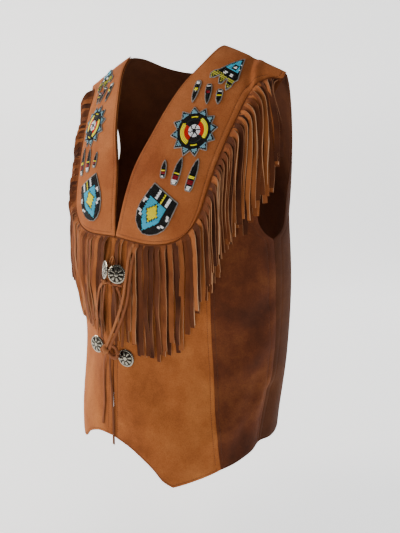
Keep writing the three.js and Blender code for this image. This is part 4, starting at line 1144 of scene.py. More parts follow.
class Fringe:
    """One side's fringe: an uncut strip under the yoke's edge and two layers of hanging strands."""

    def __init__(self, style: FringeStyle, edge: FringeEdge, side: int, seed: int) -> None:
        """Args: style: sizes; edge: where it is sewn; side: 1 left or -1 right; seed: for its small variations."""
        self.style, self.edge, self.side = style, edge, side
        self.chance = np.random.default_rng(seed)

    def roots(self) -> tuple[Array, Array]:
        """Returns: the roots' distances along the edge, and whether each is in the upper layer."""
        style = self.style
        index = np.arange(int(self.edge.total / style.pitch) - 1)
        distance = style.pitch * (index + 1)
        upper = index % 2 == 1
        x = BODY.point(self.edge.at(distance))[:, 0]
        stems = np.array(style.stem_x) * self.side
        clear = np.all(np.abs(stems[:, None] - x) > style.stem_clearance, axis=0)
        thinned = ~upper | (self.chance.random(len(index)) < style.upper_kept)
        kept = clear & thinned & (x > style.start[0 if self.side > 0 else 1])
        return distance[kept], upper[kept]

    def routes(self, distance: Array, length: Array) -> tuple[Array, Array, Array]:
        """Walks each strand out of the strip, over, and down the body.

        Args: distance: root distances; length: strand lengths.
        Returns: places (strands, stations, 2), headings (strands, stations, 3) and lengths walked.
        """
        style = self.style
        place, _, outward = self.edge.frame(distance)
        share = distance / self.edge.total
        fan = style.shoulder_fan * smoothstep(share, 0.8, 1) + self.chance.normal(0, style.lean, len(distance))
        phase = self.chance.random(len(distance)) * 2 * np.pi
        wave = self.chance.uniform(*style.wave, len(distance))
        bend = style.turn + style.shoulder_arch * smoothstep(share, 0.62, 0.95)
        pace = length / (style.stations - 1)
        at = BODY.slide(place, outward * (style.strip[1] - 1.0))
        places, headings = [], []
        for k in range(style.stations):
            normal = BODY.normal(at)
            down = surface_down(normal)
            walked = pace * k
            turned = smoothstep(walked / bend, 0, 1)[:, None]
            sway = wave * np.sin(walked / 19 + phase) + 0.05 * np.sin(BODY.point(at)[:, 2] / 34) - fan
            heading = outward * (1 - turned) + down * turned + turned * sway[:, None] * np.cross(down, normal)
            heading = unit(heading - normal * np.sum(heading * normal, -1, keepdims=True))
            places.append(at)
            headings.append(heading)
            at = BODY.slide(at, heading * pace[:, None])
        return np.stack(places, 1), np.stack(headings, 1), pace[:, None] * np.arange(style.stations)

    def strands(self) -> Shell:
        """Ribbons of four sides along their routes, turned and lifted so that they lie over each other.

        Returns: the shell of all strands, with raw edges as the second finish, lighter partly as painted highlight.
        """
        style, chance = self.style, self.chance
        distance, upper = self.roots()
        count = len(distance)
        table = np.array(style.left if self.side > 0 else style.right).T
        length = np.interp(distance / self.edge.total, *table) * (1 + chance.normal(0, style.uneven, count))
        length = np.where(upper, length * chance.uniform(0.86, 1.0, count), length)
        places, headings, walked = self.routes(distance, length)
        root, along, _ = self.edge.frame(distance)
        steep = (1 - np.hypot(along[:, 0], along[:, 1]))[:, None]
        over_arm = style.sleeve_lift * smoothstep(BODY.point(root)[:, 0], 168, 202)[:, None]
        ahead = BODY.point(places[:, 12])
        lane = np.abs(np.gradient(ahead[:, 0]))
        crowd = np.arcsin(np.clip(1.2 / np.maximum(lane, 0.5), 0, 0.75)) * smoothstep(style.width - lane, 1, 3)
        tilt = chance.normal(0, 0.1, count) - crowd * chance.uniform(0.5, 1.0, count)
        rest = 1.8 + np.sin(np.abs(tilt)) * style.width / 2 + upper * chance.uniform(1.8, 4.0, count)
        strip = style.strip_lift + style.strip_wall / 2
        lift = strip + (rest[:, None] - strip) * smoothstep(walked, 0, 12)
        lift = lift + (1.5 + 4.5 * steep) * smoothstep(walked, 0, 8) * (1 - smoothstep(walked, 12, 40))
        lift = lift + over_arm * smoothstep(walked, 0, 30)
        phase = chance.random((2, count, 1)) * 2 * np.pi
        free = smoothstep(walked, 25, 90)
        lift = lift + 1.1 * free * np.sin(walked / 17 + phase[0])
        turn = tilt[:, None] * smoothstep(walked, 0, 9)
        turn = turn + free * chance.uniform(0.05, 0.5, (count, 1)) * np.sin(walked / 24 + phase[1])
        normal = BODY.normal(places)
        flat = unit(np.cross(headings, normal))
        across = flat * np.cos(turn)[..., None] + normal * np.sin(turn)[..., None]
        thick = unit(np.cross(across, headings))
        width = style.width * chance.uniform(0.86, 1.1, (count, 1)) * np.ones_like(walked)
        width = width + (2 * style.pitch - 0.2 - width) * (1 - smoothstep(walked, 2, 11)) * ~upper[:, None]
        corners = np.array([[1, -1], [1, 1], [-1, 1], [-1, -1]]) / 2
        section = corners * np.stack([width, np.full_like(width, style.wall)], -1)[..., None, :]
        middle = BODY.leather(mirrored(places, self.side), lift)
        flip = np.array([self.side, 1, 1])
        tones = chance.uniform(0.0, 0.75, count)
        shell = swept(section_rings(middle, across * flip, thick * flip, section), values=tones)
        # The strands' narrow sides take the raw-edge finish, partly a painted highlight along their lit edges.
        edge_faces = np.ones(len(shell.faces) // count, int)
        edge_faces[: 4 * (style.stations - 1)] = np.tile([1, 0, 1, 0], style.stations - 1)
        shell.finish = np.tile(edge_faces, count)
        return shell

    def strip(self) -> Shell:
        """Returns: the uncut strip along the yoke's edge."""
        style = self.style
        distance = np.linspace(0, self.edge.total, 260)
        place, _, outward = self.edge.frame(distance)
        near, far = style.strip
        corners = [(far, 0), (far, 1), (near, 1), (near, 0)]
        ring = [
            BODY.leather(
                mirrored(BODY.slide(place, outward * offset), self.side), style.strip_lift + style.strip_wall * up
            )
            for offset, up in corners
        ]
        return swept(np.stack(ring, 1), values=np.array([0.4]))


class Yokes:
    """The two yokes with their stitched borders and fringe."""

    LIFT = 0.9
    WALL = 1.6
    SEED = 31

    def build(self, finishes: Finishes) -> list[Piece]:
        """Args: finishes: the materials. Returns: yokes, stitches and fringe."""
        made = []
        edge = FringeEdge.made()
        log.info("fringe edge %.0f mm", edge.total)
        for side, label in SIDES:
            cut = LeatherSheet(
                f"yoke_{label}", PATTERN.yoke_foot(), shoulder(BODY.neck_x, PATTERN.tip_x - 1), PATTERN.yoke_neck(),
                PATTERN.yoke_side(), side, self.LIFT, self.LIFT + self.WALL, 110, 290, step=3.0, groove=0.45,
            )
            yoke = make_object(f"suede_{cut.name}", cut.shell(), [finishes.yoke, finishes.edge])
            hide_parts(cut.name)
            thread = Stitching().round_sheet(cut, np.linspace(0.025, 0.985, 260))
            stitches = make_object(f"stitches_{cut.name}", thread, [finishes.stitch])
            fringe = Fringe(FringeStyle(), edge, side, self.SEED + side)
            strands = fringe.strands()
            log.info("%s fringe: %d strands", label, len(strands.points) // (4 * FringeStyle.stations))
            whole = Shell.joined([strands, fringe.strip()])
            hanging = make_object(f"strands_{label}", whole, [finishes.fringe, finishes.fringe_raw_edge_and_highlight])
            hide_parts(f"fringe_{label}")
            made += [yoke, stitches, hanging]
        return made


# ---------- beadwork ----------

# From beads' places across and up and their distance in from the outline to their colours.
Pattern = Callable[[Array, Array, Array], Array]


def chosen(shape: Array, rules: Sequence[tuple[Array, Bead]]) -> Array:
    """Colours beads by rules in order, the last one that holds winning.

    Args: shape: any array with one entry for each bead; rules: (where it holds, colour) pairs.
    Returns: a colour for each bead, black where no rule holds.
    """
    colour = np.full(shape.shape, int(Bead.BLACK))
    for where, bead in rules:
        colour[where] = int(bead)
    return colour


@dataclass(frozen=True)
class Figure:
    """A beaded figure on the yoke.

    Args: name: its CAD node without the side; x, z: its centre; lean: degrees towards the shoulder; outline: its
    edge in millimetres across and up; pattern: bead colours from across, up and distance to the edge; rings:
    whether its beads lie in rings instead of rows.
    """

    name: str
    x: float
    z: float
    lean: float
    outline: Array
    pattern: Pattern
    rings: bool = False


def rosette() -> Figure:
    """Returns: the sun rosette, twelve points round a disc of four quarters and a star."""
    angle = np.pi * np.arange(24) / 12 + math.radians(100)
    radius = np.where(np.arange(24) % 2 == 0, 34.5, 26.0)
    outline = polar(radius, angle)

    def pattern(u: Array, v: Array, edge: Array) -> Array:
        """Args: u, v, edge: as a Pattern's. Returns: colours."""
        r, turn = np.hypot(u, v), np.degrees(np.arctan2(v, u)) - 16
        flank = np.abs(np.mod(turn + 90, 180) - 90)
        spoke = np.abs(np.mod(turn + 30, 60) - 30)
        return chosen(u, [
            ((r > 24.2) & (edge > 2.1), Bead.PALE_BLUE),
            ((r > 14.6) & (r < 16.4) & (flank > 54), Bead.GREY),
            ((r > 18.4) & (r < 20.4) & (np.abs(np.mod(turn + 8, 180) - 90) < 13), Bead.YELLOW),
            ((r > 14.6) & (r < 20.8) & (flank < 48), Bead.YELLOW),
            ((r > 8.8) & (r < 14.8) & (flank < 48), Bead.RED),
            ((r > 2.4) & (r < 8.8) & (np.radians(spoke) * r > 0.8), Bead.WHITE),
        ])

    return Figure("rosette", 111, -115.7, 0, outline, pattern, rings=True)


def shield() -> Figure:
    """Returns: the shield with its barred top, stepped field and diamond."""
    half, tall = 24.75, 73.0
    flank = [(1, 0.5), (1.09, 0.28), (1.15, 0.05), (1.09, -0.14), (0.84, -0.31), (0.45, -0.44)]
    left = [(-half * w, tall * v) for w, v in flank]
    right = [(half * w, tall * v) for w, v in reversed(flank)]
    outline = np.array([(0, tall / 2), *left, (0, -tall / 2), *right])

    def pattern(u: Array, v: Array, edge: Array) -> Array:
        """Args: u, v, edge: as a Pattern's. Returns: colours."""
        wide, bar = np.abs(u + 2.5), np.abs(u - 1.5)
        step = np.floor((v + 36) / 4) * 4 - 36
        field = np.where(step > -8, 16.5, 16.5 * np.clip((step + 34) / 28, 0, 1))
        diamond = wide / 10.5 + np.abs(np.round((v - 2) / 3.9) * 3.9) / 14
        flank_u = np.where(u > 0, u, -u)
        marks = (np.abs(v - 12) < 2.1) & (flank_u > 20.5) | (np.abs(v - 8) < 2.1) & (flank_u > 22.5)
        marks |= (np.abs(v + 6) < 2.1) & (flank_u > 20) | (np.abs(v + 10) < 2.1) & (flank_u > 16) & (flank_u < 21)
        return chosen(u, [
            ((v < 19) & (wide < field) & (edge > 3), Bead.TURQUOISE),
            (diamond < 1.16, Bead.BLACK),
            (diamond < 0.96, Bead.YELLOW),
            ((v > 21.5) & (v < 34) & (bar > 8.4) & (bar < 12.2), Bead.WHITE),
            ((v > 18.5) & (bar < 1.0), Bead.YELLOW),
            (marks & (edge > 1.7), Bead.WHITE),
        ])

    return Figure("shield", 72.2, -228, 29, outline, pattern)


def arrowhead() -> Figure:
    """Returns: the arrowhead, a turquoise triangle over a black base with three tufts."""
    flank = [(0, 22.6), (-8.6, 6.2), (-17.4, -9.8)]
    tufts = [
        (-22.5, -13.5), (-24.5, -18), (-21.5, -22.5), (-16.5, -20.5), (-12, -15.5), (-9, -19.5), (-5.5, -24),
        (-1.5, -22.5), (0, -15.5), (3, -16), (5, -22), (9.5, -26.5), (13.5, -21), (13.2, -15),
    ]
    outline = np.array([*flank, *tufts, (16.6, -10.8), (8.3, 6.2)])

    def pattern(u: Array, v: Array, edge: Array) -> Array:
        """Args: u, v, edge: as a Pattern's. Returns: colours."""
        square = np.maximum(np.abs(u - 1), np.abs(v - 1))
        speck = np.sin(u * 2.9 + v * 1.7) * np.sin(v * 2.3 - u) > -0.1
        return chosen(u, [
            ((v > -4.5) & (edge > 2.4), Bead.TURQUOISE),
            (square < 3.8, Bead.BLACK),
            (square < 1.7, Bead.WHITE),
            ((v < -7.4) & (v > -12.4) & (np.abs(np.abs(u + 1) - 5.5) < 2.4), Bead.WHITE),
            ((np.mod(v + 1, 8) < 3) & (u > 4) & (edge < 2.2) & (v > -9), Bead.WHITE),
            ((v < -13.6 - 0.1 * u) & speck, Bead.OLIVE),
        ])

    return Figure("arrowhead", 136.6, -36.4, 31, outline, pattern)


def feather(name: str, x: float, z: float, length: float, width: float, lean: float) -> Figure:
    """A feather with a blunt banded foot and a long black point; the upper row points down.

    Args: name; x, z: centre; length, width; lean: degrees towards the shoulder.
    Returns: the figure.
    """
    down = -1 if name.startswith("upper") else 1
    profile = [(0.62, -0.5), (0.95, -0.38), (1, -0.1), (0.8, 0.2), (0.4, 0.4)]
    right = [(width / 2 * w, length * v) for w, v in profile]
    left = [(-u, v) for u, v in reversed(right)]
    outline = np.array([*right, (0, length / 2), *left]) * down

    def pattern(u: Array, v: Array, edge: Array) -> Array:
        """Args: u, v, edge: as a Pattern's. Returns: colours."""
        along = v * down / length + 0.5
        if down < 0:
            band = Bead.CRIMSON if name == "upper_middle" else Bead.YELLOW
            return chosen(u, [
                ((along < 0.16) & (edge > 1.7), Bead.WHITE),
                ((along > 0.38) & (along < 0.46) & (edge > 1.3), band),
                ((along > 0.46) & (along < 0.52) & (edge > 2.6), Bead.WHITE),
            ])
        return chosen(u, [
            ((along < 0.16) & (edge > 1.7), Bead.WHITE),
            ((along > 0.2) & (along < 0.33) & (edge > 1.5), Bead.CRIMSON),
            ((along > 0.36) & (along < 0.45) & (edge > 1.2), Bead.YELLOW),
        ])

    return Figure(f"feather_{name}", x, z, lean, outline, pattern)


def figures() -> list[Figure]:
    """Returns: all figures of one yoke."""
    return [
        rosette(),
        shield(),
        arrowhead(),
        feather("upper_inner", 95, -64, 32, 8.5, 4),
        feather("upper_middle", 114.5, -68, 28.5, 8.5, -4),
        feather("upper_outer", 131, -72, 20.5, 8.5, 0),
        feather("lower_inner", 77, -166, 24, 8.5, 0),
        feather("lower_middle", 99.3, -167.6, 38, 10.5, 12),
        feather("lower_outer", 121.8, -171.5, 45, 10.5, 15),
    ]


def edge_distance(points: Array, outline: Array) -> Array:
    """Signed distance to a closed outline, positive inside: the nearest side, signed by crossing count.

    Args: points: (n, 2); outline: (m, 2).
    Returns: (n,) distances.
    """
    start, end = outline[None], np.roll(outline, -1, 0)[None]
    p, run = points[:, None] - start, end - start
    along = np.clip(np.sum(p * run, -1) / np.sum(run * run, -1), 0, 1)
    near = np.linalg.norm(p - along[..., None] * run, axis=-1).min(1)
    straddles = (start[..., 1] > points[:, None, 1]) != (end[..., 1] > points[:, None, 1])
    rise = np.where(run[..., 1] == 0, 1e-9, run[..., 1])
    crossing = p[..., 0] < run[..., 0] * p[..., 1] / rise
    inside = np.sum(straddles & crossing, 1) % 2 == 1
    return np.where(inside, near, -near)


@dataclass(frozen=True)
class Beadwork:
    """Beads couched on felt, with a grey cord round each figure.

    Args: PROFILE, CORNERS: a bead's shares of length and girth, and its sides; SEED: for its small variations;
    lift, wall: of the felt; row, bead: pitch between rows and along a row; size: a bead's length and width;
    stagger: shift of every other row; inset: of the beads from the outline; bead_lift: their middles above the
    felt; uneven: how much that varies; cord_width: of the cord; right_raise: how much higher the right yoke's
    figures sit.
    """

    PROFILE: ClassVar[tuple[XY, ...]] = ((-0.5, 0.5), (-0.36, 0.88), (0, 1), (0.36, 0.88), (0.5, 0.5))
    CORNERS: ClassVar[int] = 6
    SEED: ClassVar[int] = 5
    lift: float = 2.6
    wall: float = 0.9
    row: float = 1.95
    bead: float = 1.62
    size: XY = (1.5, 1.9)
    stagger: float = 0.3
    inset: float = 0.9
    bead_lift: float = 0.55
    uneven: float = 0.07
    cord_width: float = 1.5
    right_raise: float = 5.5

    def frame_of(self, figure: Figure, side: int) -> tuple[Array, Array, Array]:
        """Args: figure; side: 1 left or -1 right. Returns: its centre's place and its two axes."""
        centre = BODY.place(figure.x, figure.z + (self.right_raise if side < 0 else 0))
        right, up, _ = standing_axes(centre)
        angle = -math.radians(figure.lean)
        cos, sin = math.cos(angle), math.sin(angle)
        return centre, right * cos + up * sin, up * cos - right * sin

    def points(self, figure: Figure, side: int, flat: Array, lift: float) -> Array:
        """Args: figure; side; flat: (..., 2) across and up; lift. Returns: (..., 3) points on the yoke."""
        centre, axis_u, axis_v = self.frame_of(figure, side)
        offset = flat[..., :1] * axis_u + flat[..., 1:] * axis_v
        place = BODY.slide(np.broadcast_to(centre, offset.shape[:-1] + (2,)), offset)
        return BODY.leather(mirrored(place, side), lift)

    def outline(self, figure: Figure, parts: int) -> Array:
        """Args: figure; parts: points on each side of its outline. Returns: the outline with more points."""
        share = np.linspace(0, 1, parts, endpoint=False)[None, :, None]
        after = np.roll(figure.outline, -1, 0)[:, None]
        return (figure.outline[:, None] * (1 - share) + after * share).reshape(-1, 2)

    def felt(self, figure: Figure, side: int) -> Shell:
        """Felt of the figure's shape: rings of its outline from the centre out, over the edge and back.

        Args: figure; side. Returns: the closed shell.
        """
        dense = self.outline(figure, 4)
        scales = [0.02, 0.2, 0.4, 0.6, 0.8, 1.0]
        top = [self.points(figure, side, dense * s, self.lift + self.wall) for s in scales]
        bottom = [self.points(figure, side, dense * s, self.lift) for s in reversed(scales)]
        return swept(np.stack(top + bottom))

    def cord(self, figure: Figure, side: int) -> Shell:
        """Args: figure; side. Returns: the round cord along the figure's outline."""
        dense = self.outline(figure, 6)
        middle = self.points(figure, side, dense, self.lift + self.wall * 0.8)
        heading = unit(np.roll(middle, -1, 0) - np.roll(middle, 1, 0))
        above = unit(self.points(figure, side, dense, self.lift + 3) - middle)
        across = unit(np.cross(heading, above))
        rings = section_rings(middle, across, above, round_section(self.cord_width, self.cord_width, 6))
        return swept(rings, closed=True)

    def spots(self, figure: Figure) -> tuple[Array, Array]:
        """Args: figure. Returns: flat bead centres and the unit direction of the row at each."""
        reach = np.abs(figure.outline).max() + 2
        if not figure.rings:
            u, v = np.meshgrid(np.arange(-reach, reach, self.bead), np.arange(-reach, reach, self.row))
            u = u + (np.arange(len(u)) % 2)[:, None] * self.stagger
            flat = np.stack([u, v], -1).reshape(-1, 2)
            return flat, np.broadcast_to([1.0, 0.0], flat.shape)
        radii = np.arange(1, int(reach / self.row)) * self.row
        counts = np.maximum(np.round(2 * np.pi * radii / self.bead).astype(int), 5)
        radius, count = np.repeat(radii, counts), np.repeat(counts, counts)
        turn = 2 * np.pi * (np.arange(counts.sum()) - np.repeat(np.cumsum(counts) - counts, counts)) / count
        flat = np.vstack([polar(radius, turn), [[0, 0]]])
        heading = np.stack([-np.sin(turn), np.cos(turn)], -1)
        return flat, np.vstack([heading, [[1, 0]]])

    def beads(self, figure: Figure, side: int) -> Shell:
        """Beads as barrels of six sides, their holes along the row.

        Args: figure; side. Returns: the shell, each bead with the finish of its colour.
        """
        flat, heading = self.spots(figure)
        edge = edge_distance(flat, figure.outline)
        inside = edge > self.inset
        flat, heading, edge = flat[inside], heading[inside], edge[inside]
        colour = figure.pattern(flat[:, 0], flat[:, 1], edge)
        lift = self.lift + self.wall + self.bead_lift
        middle = self.points(figure, side, flat, lift)
        along = unit(self.points(figure, side, flat + heading * 0.5, lift) - middle)
        above = unit(self.points(figure, side, flat, lift + 1) - middle)
        across = unit(np.cross(along, above))
        above = np.cross(across, along)
        chance = np.random.default_rng(self.SEED)
        middle = middle + above * chance.normal(0, self.uneven, (len(flat), 1))
        long, wide = self.size
        profile = [(long * share, wide / 2 * girth) for share, girth in self.PROFILE]
        angle = np.arange(self.CORNERS) * 2 * np.pi / self.CORNERS
        return swept(barrels(middle, (along, across, above), profile, angle), finish=colour)

    def build(self, finishes: Finishes) -> list[Piece]:
        """Args: finishes: the materials. Returns: one piece for each figure's beads and one for its felt."""
        made = []
        total = 0
        for side, label in SIDES:
            for figure in figures():
                shell = self.beads(figure, side)
                total += len(shell.points) // (self.CORNERS * len(self.PROFILE))
                beads = make_object(f"beads_{figure.name}_{label}", shell, finishes.beads, 60)
                cord = self.cord(figure, side)
                cord.finish = cord.finish + 1
                ground = Shell.joined([self.felt(figure, side), cord])
                felt = make_object(
                    f"felt_{figure.name}_{label}", ground, [finishes.backing, finishes.outline]
                )
                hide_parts(f"{figure.name}_{label}")
                made += [beads, felt]
        log.info("beadwork: %d beads", total)
        return made


# ---------- conchos, tab, ties and laces ----------


def seat(x: float, z: float, lift: float) -> tuple[Array, Array]:
    """Args: x, z, lift: where something stands on the leather. Returns: its origin and its three axes as rows."""
    place = BODY.place(x, z)
    return BODY.leather(place, lift), np.stack(standing_axes(place))


@dataclass(frozen=True)
class Concho:
    """A domed, stamped silver button.

    Args: name; x, z, lift: its seat; swing: degrees towards the wearer's left; stem, stem_radius: of the post
    behind it; radius, rim, dome: its size; petals, ropes: stamped round it; spin: degrees about its own axis.
    """

    name: str
    x: float
    z: float
    lift: float
    swing: float
    stem: float
    radius: float = 13.8
    rim: float = 0.9
    dome: float = 3.2
    petals: int = 8
    ropes: int = 14
    stem_radius: float = 1.6
    spin: float = 0

    def stamp(self, share: Array, turn: Array) -> tuple[Array, Array]:
        """Args: share: 0 at the centre to 1 at the rim; turn: radians.
        Returns: how full the petals stand, and 1 within their band."""
        petal = np.abs(np.cos(turn * self.petals / 2)) ** 0.6
        return petal, smoothstep(share, 0.3, 0.38) * (1 - smoothstep(share, 0.74, 0.8))

    def height(self, share: Array, turn: Array) -> Array:
        """Height of the face: a dome with petals stamped between its boss and its roped rim.

        Args: share: 0 at the centre to 1 at the rim; turn: radians. Returns: heights.
        """
        dome = self.rim + (self.dome - self.rim) * np.clip(1 - share**2, 0, 1) ** 0.9
        petal, band = self.stamp(share, turn)
        rope = smoothstep(share, 0.82, 0.86) * (1 - smoothstep(share, 0.95, 0.99))
        boss = 0.55 * (1 - smoothstep(share, 0.2, 0.27))
        return dome + 1.2 * band * (petal - 0.55) + 0.4 * rope * np.abs(np.cos(turn * self.ropes)) + boss

    def tarnish(self, share: Array, turn: Array) -> Array:
        """Darkness of the face: between the petals, round the boss and inside the rim.

        Args: share: 0 at the centre to 1 at the rim; turn: radians. Returns: 0 bright to 1 dark.
        """
        petal, band = self.stamp(share, turn)
        grooves = np.exp(-(((share - 0.28) / 0.04) ** 2)) + np.exp(-(((share - 0.8) / 0.03) ** 2))
        return np.clip(band * (1 - petal) + 0.7 * grooves, 0, 1)

    def shell(self) -> Shell:
        """Returns: the closed button: rings over its face, round its rim and behind."""
        turn = np.linspace(0, 2 * np.pi, 120, endpoint=False)
        shares = np.concatenate([[0.01], np.linspace(0.05, 1, 40)])
        edge = 1 + 0.012 * np.cos(turn * 24)
        cos, sin = np.cos(turn + math.radians(self.spin)), np.sin(turn + math.radians(self.spin))

        def ring(share: float, height: Array | float) -> Array:
            """Args: share: of the radius; height: of the ring. Returns: its points."""
            reach = share * self.radius * edge
            return np.stack([reach * cos, reach * sin, np.broadcast_to(height, turn.shape)], -1)

        face = [ring(share, self.height(share, turn)) for share in shares]
        behind = [ring(share, height) for share, height in ((1, 0.0), (0.8, 0.0), (0.3, 0.5), (0.01, 0.6))]
        rings = np.stack(face + behind)
        swing = math.radians(self.swing)
        turned = np.array([[math.cos(swing), 0, -math.sin(swing)], [0, 1, 0], [math.sin(swing), 0, math.cos(swing)]])
        origin, axes = seat(self.x, self.z, self.lift)
        button = swept(origin + (rings @ turned) @ axes)
        tones = [self.tarnish(share, turn) for share in shares]
        button.values = np.concatenate(tones + [np.zeros_like(turn)] * len(behind))
        return button

    def post(self) -> Shell:
        """Returns: the lace post behind a standing concho."""
        origin, axes = seat(self.x, self.z, self.lift)
        circle = polar(self.stem_radius, np.arange(8) * np.pi / 4)
        heights = np.linspace(0.4, -self.stem, 5)
        rings = np.stack([np.column_stack([circle, np.full(8, height)]) for height in heights])
        return swept(origin + rings @ axes)


@dataclass(frozen=True)
class LaceStrip:
    """Flat lace leather laid along points of x, z and lift.

    Args: width, wall: its section; step: from station to station.
    """

    width: float = 4.6
    wall: float = 1.4
    step: float = 2.5

    def stations(self, points: Sequence[Sequence[float]]) -> tuple[Array, Array, Array]:
        """Args: points: of x, z and lift. Returns: middles, and directions across and through the lace."""
        route = SmoothCurve(points, (1, 1, 1))
        count = max(int(route.length / self.step), 10)
        share = np.linspace(0, 1, count)

        def at(shares: Array) -> tuple[Array, Array]:
            """Args: shares: along the lace. Returns: its places and middles there."""
            x, z, lift = route(shares).T
            place = BODY.place(x, z)
            return place, BODY.leather(place, lift)

        place, middle = at(share)
        heading = unit(at(np.minimum(share + 0.02, 1))[1] - at(np.maximum(share - 0.02, 0))[1])
        across = unit(np.cross(heading, BODY.normal(place)))
        return middle, across, unit(np.cross(across, heading))

    def shell(self, points: Sequence[Sequence[float]], twist: float = 0, tone: float = 0.4) -> tuple[Shell, Array]:
        """Args: points: of x, z and lift; twist: how far it turns, in radians; tone: its tone.
        Returns: the lace's shell and its centre line."""
        middle, across, thick = self.stations(points)
        wave = np.linspace(0, 1, len(middle))[:, None]
        turn = twist * np.sin(wave * 2 * np.pi * 1.3 + twist * 5) * smoothstep(wave, 0.1, 0.4)
        wide = across * np.cos(turn) + thick * np.sin(turn)
        deep = thick * np.cos(turn) - across * np.sin(turn)
        section = round_section(self.width, self.wall, 8)
        return swept(section_rings(middle, wide, deep, section), values=np.array([tone])), middle


@dataclass(frozen=True)
class FreeLace:
    """A free lace of the ties.

    Args: name: its CAD node; points: of x, z and lift; far_end: what its other end is, not used; lay: how it lies,
    not used; twist: how far it turns; tone: its tone.
    """

    name: str
    points: tuple[XYZ, ...]
    far_end: str = "bare"
    lay: str = "hanging"
    twist: float = 0.25
    tone: float = 0.4


LACES = (
    FreeLace("lace_upper_1", (
        (-10, -335.9, 9), (-20, -345, 7.4), (-28, -368, 6.4), (-33, -398, 6.3), (-35, -424, 6.3),
    ), tone=0.5),
    FreeLace("lace_upper_2", (
        (-4, -336.6, 9.2), (-9, -350, 7.2), (-13, -372, 6.4), (-16, -400, 6.3), (-17, -424, 6.3),
    ), tone=0.25),
    FreeLace("lace_upper_3", (
        (13, -335.1, 8.8), (15.5, -350, 6.9), (16, -375, 6.3), (14.5, -404, 6.3), (13.5, -429, 6.3),
    ), tone=0.15),
    FreeLace("lace_upper_4", (
        (20, -335.6, 8.6), (26, -349, 6.9), (28.5, -372, 6.3), (27, -402, 6.3), (24.5, -428, 6.3),
    ), tone=0.3),
    FreeLace("lace_lower_1", (
        (-10.5, -448.1, 5.2), (-20, -466, 3), (-23, -495, 1.9), (-21, -530, 1.8), (-25, -572, 1.8),
    ), twist=0.1),
    FreeLace("lace_lower_2", (
        (0, -447.8, 5.2), (-4, -468, 3), (-1, -505, 1.9), (3, -550, 1.9), (4.5, -597, 1.9),
    ), twist=0.1, tone=0.2),
    FreeLace("lace_cross_1", (
        (43, -271.5, 3.9), (39, -288, 7.6), (36.5, -322, 8.9), (31, -354, 9), (17.5, -389, 9), (1, -424, 9.2),
        (-7.5, -437.5, 8.2),
    ), "object", "taut", 0.15, 0.6),
    FreeLace("lace_cross_2", (
        (50.5, -272, 3.9), (46.5, -290, 7.6), (44, -325, 8.9), (38, -357, 9), (24, -392, 9), (8, -425, 9.2),
        (1, -437.5, 8.2),
    ), "object", "taut", 0.15, 0.35),
)


class Laces:
    """The eight free laces."""

    def build(self, finishes: Finishes) -> list[Piece]:
        """Args: finishes: the materials. Returns: the laces."""
        made = []
        for lace in LACES:
            strip = LaceStrip()
            shell, middle = strip.shell(lace.points, lace.twist, lace.tone)
            piece = make_object(f"leather_{lace.name}", shell, [finishes.lace])
            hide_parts(lace.name)
            made.append(piece)
        return made


@dataclass(frozen=True)
class Knot:
    """Turns of lace wound round a tie.

    Args: x, z, lift: its centre; reach: half sizes along the tie, across it and out; turns: how many; lean: degrees.
    """

    x: float
    z: float
    lift: float
    reach: XYZ
    turns: float = 2.5
    lean: float = 20

    def shell(self, radius: float, tone: float) -> Shell:
        """A lace on a spiral about the tie's axis, ending inside.

        Args: radius: the lace's; tone: its tone. Returns: the knot's shell.
        """
        wide, high, deep = self.reach
        share = np.linspace(0, 1, 70)
        angle = share * self.turns * 2 * np.pi + 0.6
        along = (share - 0.5) * 2 * (wide - radius)
        taper = 1 - 0.25 * (2 * share - 1) ** 2
        lean = math.radians(self.lean)
        across, out = (high - radius) * taper * np.cos(angle), (deep - radius) * taper * np.sin(angle)
        cos, sin = math.cos(lean), math.sin(lean)
        flat = np.stack([along * cos - across * sin, along * sin + across * cos, out], -1)
        origin, axes = seat(self.x, self.z, self.lift)
        middle = origin + flat @ axes
        heading = unit(np.gradient(middle, axis=0))
        outward = unit(middle - origin + 1e-6)
        wide_dir = unit(np.cross(heading, outward))
        thick = np.cross(wide_dir, heading)
        section = round_section(radius * 2.4, radius * 1.5)
        return swept(section_rings(middle, wide_dir, thick, section), values=np.array([tone]))


